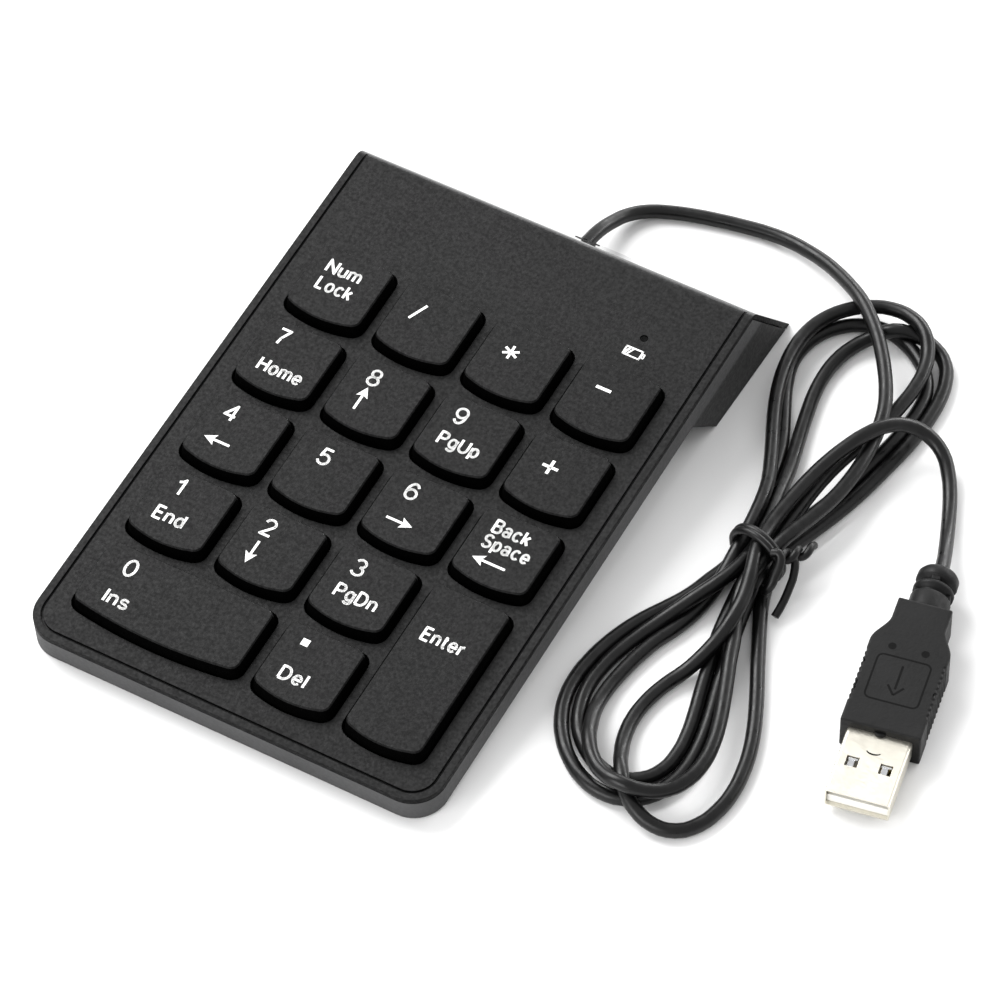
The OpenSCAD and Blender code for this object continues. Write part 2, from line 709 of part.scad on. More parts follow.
// a smooth curve through the chosen points
function blend(a, b, c, d, t) = 0.5 * (2 * b + (c - a) * t
    + (2 * a - 5 * b + 4 * c - d) * t * t + (3 * b - a - 3 * c + d) * t * t * t);
function smooth(p, steps) = concat(
    [for (i = [0:len(p) - 2], k = [0:steps - 1])
        blend(p[max(i - 1, 0)], p[i], p[i + 1], p[min(i + 2, len(p) - 1)], k / steps)],
    [p[len(p) - 1]]);
module tube(p, r, sides) {
    n = len(p);
    points = [for (i = [0:n - 1]) each ring(p, i, r, sides)];
    sides_faces = [for (i = [0:n - 2], k = [0:sides - 1])
        [i * sides + k, (i + 1) * sides + k, (i + 1) * sides + (k + 1) % sides, i * sides + (k + 1) % sides]];
    polyhedron(points, concat(sides_faces,
        [[for (k = [0:sides - 1]) k]],
        [[for (k = [sides - 1:-1:0]) (n - 1) * sides + k]]), convexity = 6);
}
module cord_lead() {
    color("#1d1d1f") tube(smooth(lead_route, 2), cord_d / 2, 8);
}
module cord_to_plug() {
    color("#1d1d1f") tube(smooth(plug_route, 2), cord_d / 2, 8);
}
module disc(at) {
    translate([at[0], at[1]]) circle(at[2], $fn = 32);
}
module cord_hank() {
    color("#1d1d1f") linear_extrude(hank_h) {
        hull() { disc(hank_top); disc(hank_waist); }
        hull() { disc(hank_low); disc(hank_waist); }
    }
}
module twist_tie() {
    color("#17171a") translate([hank_waist[0], hank_waist[1], 0]) {
        difference() {
            translate([-8, -1.5, 0.2]) cube([16, 3, hank_h + 0.9]);
            translate([-6.9, -3, 1.2]) cube([13.8, 6, hank_h - 1.2]);
        }
        translate([7.5, 0, hank_h * 0.6]) rotate([60, 0, 25]) cylinder(h = 7, r = 0.9);
    }
}

// ================= plug =================

// plug frame: origin in the grip's front face, -Y is the way the plug points
module at_plug() {
    translate(plug_pos) rotate([plug_dip, 0, plug_turn]) children();
}
module rounded_rect(w, h, r) {
    square([w - 2 * r, h], center = true);
    square([w, h - 2 * r], center = true);
    for (x = [r - w / 2, w / 2 - r], y = [r - h / 2, h / 2 - r]) translate([x, y]) circle(r);
}
module along_plug(y0, y1) {
    translate([0, y1, 0]) rotate([90, 0, 0]) linear_extrude(y1 - y0) children();
}
module plug_grip() {
    shoulder_w = 9.4;
    color("#222224") at_plug() difference() {
        union() {
            along_plug(0, grip_len) rounded_rect(grip_w, grip_t, 1.4);
            hull() {
                along_plug(grip_len - eps, grip_len) rounded_rect(grip_w, grip_t, 1.4);
                along_plug(grip_len + shoulder_len - 1.5, grip_len + shoulder_len)
                    rounded_rect(shoulder_w, grip_t - 0.6, 1.4);
            }
            translate([0, grip_len + shoulder_len - eps, 0]) rotate([-90, 0, 0]) {
                cylinder(h = relief_len, r = cord_d / 2 + 0.9);
                cylinder(h = 4.6, r = relief_r);
                translate([0, 0, 6]) cylinder(h = 1.6, r = relief_r - 0.2);
                translate([0, 0, relief_len - 1.4]) cylinder(h = 1.4, r = relief_r - 0.4);
            }
        }
        along_plug(-1, shell_back) rounded_rect(shell_w, shell_t, 0.5);
    }
}
module plug_shell() {
    color("#d8d4c6") at_plug() difference() {
        along_plug(-shell_len, shell_back) rounded_rect(shell_w, shell_t, 0.5);
        along_plug(-shell_len - 1, shell_back - shell_wall)
            rounded_rect(shell_w - 2 * shell_wall, shell_t - 2 * shell_wall, 0.3);
        for (x = [-3.1, 3.1]) translate([x - 1.15, -8.3, -shell_t]) cube([2.3, 2.3, 2 * shell_t]);
    }
}
module plug_insulator() {
    color("#e8e6e0") at_plug() along_plug(-shell_len + 0.8, shell_back - shell_wall)
        translate([0, -0.95]) rounded_rect(shell_w - 2 * shell_wall - 0.1, shell_t / 2 - 0.35, 0.3);
}
module plug_contacts() {
    top = shell_t / 4 - 0.175 - 0.95;
    color("#d4af5a") at_plug() for (i = [0:3])
        translate([-3.5 + i * 2.33 - 0.5, -shell_len + 2 + (i % 3 == 0 ? 0 : 1), top])
            cube([1, 8, 0.15]);
}

top_cover();
bottom_case();
key_num_lock();
key_divide();
key_multiply();
key_minus();
key_7();
key_8();
key_9();
key_plus();
key_4();
key_5();
key_6();
key_backspace();
key_1();
key_2();
key_3();
key_enter();
key_0();
key_decimal();
silicone_domes();
membrane_top();
membrane_spacer();
membrane_bottom();
backing_plate();
circuit_board();
controller_chip();
board_parts();
status_led();
led_lens();
membrane_clamp();
cable_connector();
cable_wires();
zero_stabilizer();
enter_stabilizer();
case_screws();
tail_screws();
board_screws();
front_feet();
rear_feet();
cable_gland();
cord_lead();
cord_hank();
cord_to_plug();
twist_tie();
plug_grip();
plug_shell();
plug_insulator();
plug_contacts();
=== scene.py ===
"""Looks for the numeric keypad: camera, studio, cord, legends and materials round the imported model."""
import bpy
import json
import math
import numpy as np
from mathutils import Matrix, Vector


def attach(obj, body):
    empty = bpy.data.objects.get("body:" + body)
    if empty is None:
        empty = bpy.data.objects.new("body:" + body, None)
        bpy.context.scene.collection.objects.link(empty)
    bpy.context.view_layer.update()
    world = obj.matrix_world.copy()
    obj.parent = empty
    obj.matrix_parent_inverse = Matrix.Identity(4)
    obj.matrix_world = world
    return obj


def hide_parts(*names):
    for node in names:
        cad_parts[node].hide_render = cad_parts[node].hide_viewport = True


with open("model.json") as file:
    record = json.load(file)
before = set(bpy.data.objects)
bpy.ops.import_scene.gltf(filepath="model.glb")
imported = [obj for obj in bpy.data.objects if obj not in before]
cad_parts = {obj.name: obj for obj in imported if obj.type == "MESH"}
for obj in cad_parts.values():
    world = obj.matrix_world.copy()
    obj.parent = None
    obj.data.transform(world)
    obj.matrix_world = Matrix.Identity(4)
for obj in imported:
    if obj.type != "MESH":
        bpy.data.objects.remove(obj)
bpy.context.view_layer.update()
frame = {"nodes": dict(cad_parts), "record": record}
MM = 0.001
TILT = math.radians(5.8)
BODY_W, BODY_LENGTH = 85.2, 138.0
SLAB_FRONT_Y = 6 * math.sin(TILT) - BODY_LENGTH / 2
SLAB_LIFT = 0.15
scene = bpy.context.scene

# ---------------------------------------------------------------- camera and studio

cam = bpy.data.objects.new("camera", bpy.data.cameras.new("camera"))
scene.collection.objects.link(cam)
right = Vector((0.870063, 0.492941, 0.0))
up = Vector((-0.378329, 0.667767, 0.641057))
back = right.cross(up)
turn = Matrix((right, up, back)).transposed().to_4x4()
cam.matrix_world = Matrix.Translation((0.35897, -0.60119, 0.83286)) @ turn
cam.data.sensor_width = 36
cam.data.lens = 210.49
cam.data.clip_end = 20
scene.camera = cam


def area_light(name, place, aim, width, height, power, colour=(1, 1, 1)):
    """A soft box at place, turned towards aim."""
    light = bpy.data.lights.new(name, "AREA")
    light.shape = "RECTANGLE"
    light.size, light.size_y = width, height
    light.energy = power
    light.color = colour
    lamp = bpy.data.objects.new(name, light)
    scene.collection.objects.link(lamp)
    lamp.location = place
    lamp.rotation_euler = (Vector(aim) - Vector(place)).to_track_quat("-Z", "Y").to_euler()
    return lamp


area_light("key_softbox", (-0.85, 0.3, 0.95), (0.02, 0.0, 0.0), 0.8, 0.8, 20)
area_light("front_softbox", (-0.35, -1.15, 0.55), (0.0, 0.0, 0.0), 1.0, 0.6, 12)
area_light("rear_strip", (0.25, 1.25, 0.42), (0.0, 0.06, 0.0), 1.7, 0.16, 14)

world = bpy.data.worlds.new("studio")
scene.world = world
world.use_nodes = True
world.node_tree.nodes["Background"].inputs["Color"].default_value = (1, 1, 1, 1)
world.node_tree.nodes["Background"].inputs["Strength"].default_value = 0.8
scene.view_settings.view_transform = "Standard"

# ---------------------------------------------------------------- materials


class Shader:
    """A material's node tree, with short calls for the nodes that this script uses."""

    def __init__(self, name):
        self.material = bpy.data.materials.new(name)
        self.material.use_nodes = True
        self.tree = self.material.node_tree
        self.bsdf = self.tree.nodes["Principled BSDF"]
        self.place = self.tree.nodes.new("ShaderNodeTexCoord").outputs["Object"]

    def node(self, kind, **values):
        n = self.tree.nodes.new(kind)
        for key, value in values.items():
            setattr(n, key, value)
        return n

    def link(self, a, b):
        self.tree.links.new(a, b)

    def noise(self, scale, detail=3.0, rough=0.55):
        n = self.node("ShaderNodeTexNoise")
        n.inputs["Scale"].default_value = scale
        n.inputs["Detail"].default_value = detail
        n.inputs["Roughness"].default_value = rough
        self.link(self.place, n.inputs["Vector"])
        return n.outputs["Fac"]

    def spread(self, value, low, high, out_low=0.0, out_high=1.0):
        n = self.node("ShaderNodeMapRange")
        for key, number in (("From Min", low), ("From Max", high), ("To Min", out_low), ("To Max", out_high)):
            n.inputs[key].default_value = number
        self.link(value, n.inputs["Value"])
        return n.outputs["Result"]

    def mix(self, fac, a, b):
        n = self.node("ShaderNodeMix", data_type="RGBA")
        for key, colour in (("A", a), ("B", b)):
            socket = [s for s in n.inputs if s.name == key and s.type == "RGBA"][0]
            if isinstance(colour, tuple):
                socket.default_value = (*colour, 1)
            else:
                self.link(colour, socket)
        self.link(fac, n.inputs[0])
        return [s for s in n.outputs if s.type == "RGBA"][0]

    def math(self, operation, a, b):
        n = self.node("ShaderNodeMath", operation=operation)
        for socket, value in zip(n.inputs, (a, b)):
            if isinstance(value, (int, float)):
                socket.default_value = value
            else:
                self.link(value, socket)
        return n.outputs[0]

    def bump(self, heights, round_edges=0.0):
        """Bumps from (height output, depth in metres) pairs, over edges rounded by the Bevel node."""
        normal = None
        if round_edges:
            n = self.node("ShaderNodeBevel")
            n.samples = 6
            n.inputs["Radius"].default_value = round_edges
            normal = n.outputs["Normal"]
        for height, depth in heights:
            n = self.node("ShaderNodeBump")
            n.inputs["Strength"].default_value = 1.0
            n.inputs["Distance"].default_value = depth
            self.link(height, n.inputs["Height"])
            if normal is not None:
                self.link(normal, n.inputs["Normal"])
            normal = n.outputs["Normal"]
        if normal is not None:
            self.link(normal, self.bsdf.inputs["Normal"])

    def facing_up(self, low, high):
        """1 on faces that look along the keypad's own up direction, 0 on its walls."""
        geometry = self.node("ShaderNodeNewGeometry")
        dot = self.node("ShaderNodeVectorMath", operation="DOT_PRODUCT")
        self.link(geometry.outputs["True Normal"], dot.inputs[0])
        dot.inputs[1].default_value = (0, -math.sin(TILT), math.cos(TILT))
        return self.spread(dot.outputs["Value"], low, high)

    def facing_rear(self, low, high):
        """1 on the smooth rear face, 0 on the grained rest."""
        geometry = self.node("ShaderNodeNewGeometry")
        n = self.node("ShaderNodeSeparateXYZ")
        self.link(geometry.outputs["True Normal"], n.inputs["Vector"])
        return self.spread(n.outputs["Y"], low, high)

    def slab_height(self):
        """How far a point lies above the underside of the sloping slab, in mm."""
        n = self.node("ShaderNodeSeparateXYZ")
        self.link(self.place, n.inputs["Vector"])
        rise = self.math("SUBTRACT", n.outputs["Y"], SLAB_FRONT_Y * MM)
        level = self.math("SUBTRACT", n.outputs["Z"], SLAB_LIFT * MM)
        up = self.math("MULTIPLY", level, math.cos(TILT) / MM)
        return self.math("SUBTRACT", up, self.math("MULTIPLY", rise, math.sin(TILT) / MM))

    def set(self, **values):
        for key, value in values.items():
            socket = self.bsdf.inputs[key.replace("_", " ")]
            if isinstance(value, tuple):
                socket.default_value = (*value, 1)
            elif isinstance(value, (int, float)):
                socket.default_value = value
            else:
                self.link(value, socket)
        return self


GRAIN_ROUGHNESS = 0.55
GRAIN_DEPTH = 0.00004
EDGE_ROUNDING = 0.00018


def grained_plastic(name, top, side, shine, foot_painted_shade=None):
    """Moulded plastic with a fine spark-eroded grain, a little uneven in tone; its walls take another colour
    as painted light and shade, and walls below the slab's underside can take a darker foot colour as painted
    shade.

    The shine is a pair: how much light the top and the walls throw back."""
    s = Shader(name)
    fine = s.noise(2600, 2.0)
    tone = s.spread(s.noise(45, 4.0), 0.3, 0.7)
    grit = s.spread(s.noise(1800, 1.0), 0.35, 0.65)
    face = s.mix(tone, tuple(c * 0.8 for c in top), tuple(c * 1.2 for c in top))
    face = s.mix(s.math("MULTIPLY", grit, 0.4), face, tuple(c * 2.0 for c in top))
    # painted light and shade: the walls get their own colour, darker on the cover and keys, lighter on the
    # lower case
    painted_wall_light_and_shade = s.mix(tone, tuple(c * 0.88 for c in side), tuple(c * 1.12 for c in side))
    if foot_painted_shade:
        # painted shade: walls below the slab's underside take the darker foot colour
        painted_wall_light_and_shade = s.mix(s.spread(s.slab_height(), -0.6, 0.4), foot_painted_shade, painted_wall_light_and_shade)
    # mask for the painted wall light and shade, 1 on faces that look up; it also gives the walls less shine
    up = s.facing_up(0.35, 0.8)
    rear = s.facing_rear(0.3, 0.55)
    even = s.spread(rear, 0, 1, 1, 0.12)
    rough = s.spread(s.noise(1300, 2.0), 0.3, 0.7, GRAIN_ROUGHNESS - 0.06, GRAIN_ROUGHNESS + 0.08)
    s.set(Base_Color=s.mix(up, painted_wall_light_and_shade, face), Roughness=s.math("MULTIPLY", even, rough))
    polish = s.math("MULTIPLY", rear, 0.35)
    sparkle = s.spread(s.noise(1500, 2.0), 0.35, 0.65, 0.7, 1.3)
    sheen = s.math("MULTIPLY", s.spread(up, 0, 1, shine[1], shine[0]), sparkle)
    s.link(s.math("ADD", sheen, polish), s.bsdf.inputs["Specular IOR Level"])
    s.bump([(s.math("MULTIPLY", fine, even), GRAIN_DEPTH)], EDGE_ROUNDING)
    return s.material


def simple_plastic(name, colour, rough, grain, depth, variation, round_edges=0.0, **more):
    """Plain plastic or rubber: its colour varies by a share of itself, its grain is a fine bump."""
    s = Shader(name)
    tone = s.spread(s.noise(120, 4.0), 0.3, 0.7)
    low = tuple(c * (1 - variation) for c in colour)
    high = tuple(min(1, c * (1 + variation)) for c in colour)
    roughness = s.spread(s.noise(grain * 0.4, 3.0), 0.3, 0.7, rough - 0.08, rough + 0.1)
    s.set(Base_Color=s.mix(tone, low, high), Roughness=roughness)
    s.set(**more)
    s.bump([(s.noise(grain, 2.0), depth)], round_edges)
    return s.material


SCRATCH_DEPTH = 0.000008
METAL_EDGE_ROUNDING = 0.00008


def brushed_metal(name, colour, rough, stretch=(1, 1, 12)):
    """Metal with fine scratches across the stretched direction."""
    s = Shader(name)
    mapping = s.node("ShaderNodeMapping")
    mapping.inputs["Scale"].default_value = stretch
    s.link(s.place, mapping.inputs["Vector"])
    n = s.node("ShaderNodeTexNoise")
    n.inputs["Scale"].default_value = 900
    n.inputs["Detail"].default_value = 3
    s.link(mapping.outputs["Vector"], n.inputs["Vector"])
    scratch = n.outputs["Fac"]
    tone = s.spread(s.noise(160, 3.0), 0.3, 0.7)
    s.set(Metallic=1.0, Base_Color=s.mix(tone, tuple(c * 0.86 for c in colour), colour),
          Roughness=s.spread(scratch, 0.3, 0.7, rough - 0.08, rough + 0.1))
    s.bump([(scratch, SCRATCH_DEPTH)], METAL_EDGE_ROUNDING)
    return s.material


CASE_BLACK = (0.0042, 0.0042, 0.0043)
# each grained plastic's second colour is painted wall light and shade: slightly darker walls on the cover,
# lighter walls with a darker painted-shade foot on the lower case
materials = {
    "case_plastic": grained_plastic("case_plastic", CASE_BLACK, (0.003, 0.003, 0.0031), (0.17, 0.08)),
    "case_plastic_lower": grained_plastic("case_plastic_lower", (0.01, 0.01, 0.0102), (0.066, 0.066, 0.067),
                                          (0.22, 0.08), foot_painted_shade=(0.026, 0.026, 0.026)),
    # painted shade: the key walls are near black
    "key_plastic": grained_plastic("key_plastic", CASE_BLACK, (0.0004, 0.0004, 0.0004), (0.16, 0.02)),
    "legend_ink": simple_plastic("legend_ink", (0.88, 0.88, 0.87), 0.5, 2500, 0.000006, 0.04),
    "silicone": simple_plastic("silicone", (0.72, 0.72, 0.68), 0.5, 1500, 0.00001, 0.06,
                               Subsurface_Weight=0.2),
    "film": simple_plastic("film", (0.6, 0.66, 0.7), 0.2, 700, 0.000004, 0.1),
    "steel_sheet": brushed_metal("steel_sheet", (0.55, 0.56, 0.58), 0.38),
    "board_laminate": simple_plastic("board_laminate", (0.015, 0.14, 0.06), 0.3, 1200, 0.000006, 0.3),
    "chip_plastic": simple_plastic("chip_plastic", (0.03, 0.03, 0.03), 0.6, 3000, 0.00001, 0.2),
    "tinned_parts": brushed_metal("tinned_parts", (0.66, 0.62, 0.52), 0.35),
    "led_body": simple_plastic("led_body", (0.85, 0.84, 0.76), 0.25, 900, 0.000004, 0.05),
    "lens_plastic": simple_plastic("lens_plastic", (0.0006, 0.0006, 0.0006), 0.12, 900, 0.000004, 0.2,
                                   Specular_IOR_Level=0.1),
    "connector_nylon": simple_plastic("connector_nylon", (0.78, 0.76, 0.7), 0.5, 1800, 0.00001, 0.05),
    "wire_insulation": simple_plastic("wire_insulation", (0.4, 0.06, 0.05), 0.35, 1200, 0.000006, 0.3),
    "spring_steel": brushed_metal("spring_steel", (0.72, 0.73, 0.75), 0.2),
    "screw_steel": brushed_metal("screw_steel", (0.5, 0.51, 0.53), 0.35),
    "foot_rubber": simple_plastic("foot_rubber", (0.01, 0.01, 0.01), 0.8, 2400, 0.00003, 0.25),
    "cable_pvc": simple_plastic("cable_pvc", (0.0022, 0.0022, 0.0023), 0.34, 1500, 0.000008, 0.3,
                                Specular_IOR_Level=0.3),
    "tie_pvc": simple_plastic("tie_pvc", (0.0016, 0.0016, 0.0017), 0.38, 1500, 0.000008, 0.3,
                              Specular_IOR_Level=0.3),
    "grip_pvc": simple_plastic("grip_pvc", (0.0046, 0.0046, 0.0047), 0.5, 1700, 0.00004, 0.3, 0.0004,
                               Specular_IOR_Level=0.2),
    "moulded_shadow": simple_plastic("moulded_shadow", (0.0008, 0.0008, 0.0008), 0.6, 1500, 0.00001, 0.3,
                                     Specular_IOR_Level=0.1),
    "shell_metal": brushed_metal("shell_metal", (0.8, 0.77, 0.68), 0.36, (1, 8, 1)),
    "insulator_plastic": simple_plastic("insulator_plastic", (0.8, 0.79, 0.75), 0.5, 1800, 0.00001, 0.05),
    "contact_gold": brushed_metal("contact_gold", (0.85, 0.62, 0.25), 0.25),
}
slots = {row["node"]: row["material_slot"] for row in frame["record"]["subparts"]}
for name, obj in frame["nodes"].items():
    obj.data.materials.clear()
    obj.data.materials.append(materials[slots[name]])


def piece(name, mesh_or_curve, body, slot):
    obj = bpy.data.objects.new(name, mesh_or_curve)
    scene.collection.objects.link(obj)
    mesh_or_curve.materials.append(materials[slot])
    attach(obj, body)
    return obj


# ---------------------------------------------------------------- cord

CORD_D = 2.8
CORD_R = CORD_D / 2
TABLE_Z = CORD_R + 0.1
EXIT_X, EXIT_Y, EXIT_Z = 1.0, 64.63, 5.4


def beside(dx, dy, z):
    """A place counted from the body's rear right corner on the table."""
    return (BODY_W / 2 + dx, BODY_LENGTH / 2 + dy, z)


def behind(x, dy, z):
    return (x, BODY_LENGTH / 2 + dy, z)


lead = [(EXIT_X, EXIT_Y - 1, EXIT_Z), behind(1.3, 0.2, EXIT_Z - 0.6), behind(1.7, 3.4, EXIT_Z - 1.6),
        behind(2.1, 6.6, EXIT_Z - 2.7), behind(2.9, 9.4, TABLE_Z + 0.4), behind(4.6, 11.4, TABLE_Z),
        behind(7.2, 12.7, TABLE_Z), behind(9.9, 13.6, TABLE_Z), behind(13.1, 14.7, TABLE_Z),
        behind(19.3, 16.2, TABLE_Z), behind(26.2, 17.6, TABLE_Z), beside(-12.9, 18.1, 1.6),
        beside(-9.4, 17.9, 1.9), beside(-5.7, 17.0, 2.4), beside(-2.0, 15.7, 3.2), beside(1.7, 13.9, 4.2),
        beside(5.4, 11.5, 5.2), beside(9.0, 9.2, 6.0), beside(12.2, 6.6, 6.6), (57.6, 73.0, 7.0),
        (60.2, 70.3, 7.1), (62.6, 67.3, 7.1), (64.8, 64.3, 7.1), (67.2, 60.5, 7.1), (69.3, 56.8, 7.1),
        (71.1, 52.4, 7.1), (72.2, 46.9, 7.1), (72.9, 40.5, 7.1), (72.9, 34.9, 7.1), (72.4, 29.6, 7.1),
        (71.0, 23.7, 7.3)]
# where each pass of the hank goes through the tie, then the passes one by one
tie_points = {"lead": (68.6, 14, 8.0), "lb2": (61.9, 14, 5.4), "u1": (67.4, 14, 5.4), "la": (62.4, 14, 2.7),
              "u2": (65.2, 14, 2.7), "lb1": (64.6, 14, 5.4), "u3": (68.0, 14, 2.7), "lc": (65.4, 14, 8.0)}
# each pass runs from the tie round one end of the hank and back
low_2 = [(66.6, 4.6, 6.6), (67.4, 1.0, 5.8), (68.6, -2.1, 5), (70.7, -7.3, 4.6), (73.1, -13.0, 4.4),
         (75.6, -19.2, 4.3), (78.0, -25.6, 4.3), (79.5, -31.2, 4.3), (79.8, -36.5, 4.3), (78.3, -41.6, 4.3),
         (75.3, -44.7, 4.4), (72.3, -47.0, 6), (68.9, -47.9, 6.8), (64.7, -45.9, 5), (61.3, -43.2, 4.3),
         (58.4, -39.6, 4), (56.0, -34.4, 2), (55.1, -29.3, 1.6), (55.4, -23.2, 1.5), (56.4, -17.0, 1.5),
         (57.6, -11.3, 1.5), (59.5, -5.9, 1.6), (61.2, -0.4, 2), (61.8, 4.7, 3.2)]
high_1 = [(60.7, 24.8, 4.8), (57.5, 32.9, 4.4), (54.6, 39.1, 4.3), (51.8, 44.9, 4.3), (49.6, 50.4, 4.3),
          (48.0, 56.4, 4.3), (47.4, 62.5, 4.3), (47.9, 67.9, 4.3), (49.7, 72.1, 4.3), (52.5, 75.7, 4.3),
          (56.2, 78.6, 4.3), (60.3, 79.7, 4.3), (64.9, 78.5, 4.3), (68.6, 75.5, 4.3), (70.9, 72.0, 4.3),
          (72.1, 67.4, 4.3), (72.3, 61.7, 4.3), (71.7, 56.6, 4.3), (71.1, 51.8, 4.3), (70.1, 46.9, 4.5),
          (68.8, 42.0, 4.8), (67.8, 36.3, 5), (67.3, 30.3, 5.2), (67.2, 23.5, 5.3)]
low_1 = [(67.6, 4.4, 2.6), (68.6, -1.7, 1.6), (69.8, -7.8, 1.5), (71.6, -13.5, 1.5), (73.5, -19.0, 1.5),
         (75.2, -24.7, 1.5), (76.4, -30.5, 1.5), (76.8, -36.3, 1.5), (75.8, -40.9, 1.5), (73.9, -44.4, 1.5),
         (71.4, -46.8, 1.5), (68.5, -47.7, 1.5), (65.1, -47.7, 1.5), (61.4, -46.6, 1.5), (57.6, -44.2, 1.5),
         (54.2, -40.9, 1.5), (51.5, -37.0, 1.5), (49.5, -32.1, 1.5), (48.8, -26.9, 1.5), (49.3, -21.6, 1.5),
         (50.9, -15.7, 1.5), (53.0, -10.1, 1.6), (56.3, -4.8, 2.0), (58.9, -0.1, 2.4), (60.9, 5.0, 2.6)]
high_2 = [(61.4, 22.3, 2.6), (59.3, 28.6, 1.8), (58.3, 33.7, 1.6), (56.8, 38.8, 1.6), (54.5, 43.9, 1.5),
          (52.0, 48.8, 1.5), (49.6, 53.7, 1.5), (47.7, 59.1, 1.5), (47.5, 63.7, 1.6), (48.6, 68.3, 1.6),
          (51.3, 72.3, 1.6), (54.7, 75.0, 1.6), (58.8, 76.2, 1.6), (62.2, 76.0, 1.6), (65.9, 74.6, 1.6),
          (69.4, 71.9, 1.5), (72.4, 68.8, 1.5), (74.2, 65.1, 1.5), (74.7, 60.6, 1.5), (74.6, 55.2, 1.5),
          (74.0, 50.2, 1.5), (72.9, 45.6, 1.6), (72.2, 40.9, 1.6), (71.3, 35.4, 1.6), (69.4, 28.9, 1.8),
          (67.4, 22.5, 2.4)]
low_3 = [(65.9, 5.2, 2.4), (67.0, -0.9, 1.6), (68.0, -7.5, 1.5), (69.2, -13.5, 1.5), (70.8, -19.3, 1.5),
         (72.4, -24.9, 1.5), (73.5, -29.8, 1.5), (73.9, -34.4, 1.5), (73.3, -38.8, 1.5), (71.3, -41.6, 1.5),
         (68.7, -43.2, 1.5), (65.7, -43.6, 1.5), (62.1, -42.7, 1.5), (58.3, -40.2, 1.5), (55.2, -36.5, 1.5),
         (52.9, -32.3, 1.5), (51.7, -27.5, 1.5), (51.9, -22.4, 1.5), (52.6, -16.4, 1.5), (54.6, -10.6, 1.6),
         (57.5, -5.2, 2), (60.2, -0.0, 3.2), (62.6, 5.4, 4.6)]
high_3 = [(62.8, 22.0, 4.4), (61.2, 27.6, 3.0), (59.9, 33.9, 1.8), (58.8, 39.5, 1.5), (57.7, 44.1, 1.5),
          (56.7, 48.3, 1.5), (55.4, 53.3, 1.5), (54.6, 58.7, 1.5), (54.6, 64.3, 1.5), (55.8, 69.3, 1.5),
          (57.9, 72.5, 1.8), (60.4, 74.3, 3.4), (63.6, 75.4, 4.4), (66.4, 76.4, 3.4), (69.2, 77.0, 1.8),
          (72.5, 75.8, 1.5), (74.9, 72.3, 1.5), (76.4, 67.7, 1.5), (76.8, 63.5, 1.5), (76.8, 58.6, 1.5),
          (76.2, 52.6, 1.5), (75.6, 47.6, 1.5), (74.9, 42.1, 1.5), (73.8, 37.1, 1.5), (72.4, 31.4, 1.5),
          (70.6, 24.6, 1.9)]
low_4 = [(69.4, 6.8, 2.4), (71.3, 2.4, 1.7), (73.6, -1.9, 1.5), (76.2, -7.5, 1.5), (79.1, -13.1, 1.5),
         (82.6, -20.5, 1.5), (84.9, -26.8, 1.5), (86.0, -32.1, 1.5), (86.5, -37.8, 1.5), (85.5, -43.1, 1.5),
         (84.1, -46.7, 1.5), (81.9, -48.9, 1.5), (78.9, -49.7, 1.5), (75.7, -49.6, 1.8), (73.3, -49.2, 3),
         (71.1, -48.2, 4.2), (68.8, -45.7, 4), (66.1, -41.2, 2.6), (63.8, -36.6, 1.7), (62.4, -31.9, 1.5),
         (62.3, -27.0, 1.5), (63.1, -22.2, 1.5), (64.8, -17.3, 1.5), (67.0, -12.8, 1.6), (68.6, -8.0, 3.0),
         (69.3, -3.5, 5.0), (68.6, 1.5, 6.6), (67.2, 7.0, 7.6)]
to_plug = [(65.4, 21.5, 8.1), (66.0, 26.7, 8.2), (66.9, 32.7, 8.6), (68.3, 37.3, 9.2), (70.2, 41.8, 9.9),
           (71.9, 45.9, 9.9), (74.1, 49.1, 9.6), (76.5, 52.1, 8.2), (79.4, 53.5, 6.2),
           beside(40.8, -16.0, 4.2), beside(43.6, -19.2, 2.6), beside(46.6, -24.6, 1.7),
           beside(49.0, -30.4, 1.7), beside(51.2, -35.6, 2.6), beside(53, -40.4, 4.1),
           beside(54.26, -44.6, 5.2)]
route = [*lead, tie_points["lead"], *low_2, tie_points["lb2"], *high_1, tie_points["u1"], *low_1,
         tie_points["la"], *high_2, tie_points["u2"], *low_3, tie_points["lb1"], *high_3, tie_points["u3"],
         *low_4, tie_points["lc"], *to_plug]


def spaced(line, step):
    """The line again, with points about step apart."""
    along = np.concatenate([[0], np.cumsum(np.linalg.norm(np.diff(line, axis=0), axis=1))])
    at = np.linspace(0, along[-1], round(along[-1] / step) + 1)
    return np.stack([np.interp(at, along, line[:, k]) for k in range(3)], axis=1)


def smoothed(points, per_span=8):
    """A Catmull-Rom curve through the points."""
    p = np.vstack([2 * points[0] - points[1], points, 2 * points[-1] - points[-2]])
    t = np.linspace(0, 1, per_span, endpoint=False)[:, None]
    spans = []
    for i in range(1, len(p) - 2):
        a, b, c, d = p[i - 1:i + 3]
        bend = (2 * a - 5 * b + 4 * c - d) * t ** 2
        twist = (3 * b - a - 3 * c + d) * t ** 3
        spans.append(0.5 * (2 * b + (c - a) * t + bend + twist))
    return np.vstack([*spans, points[-1:]])


# how far the line of sight goes in x and y for each millimetre of height
SIGHT = (0.4117, -0.7267)


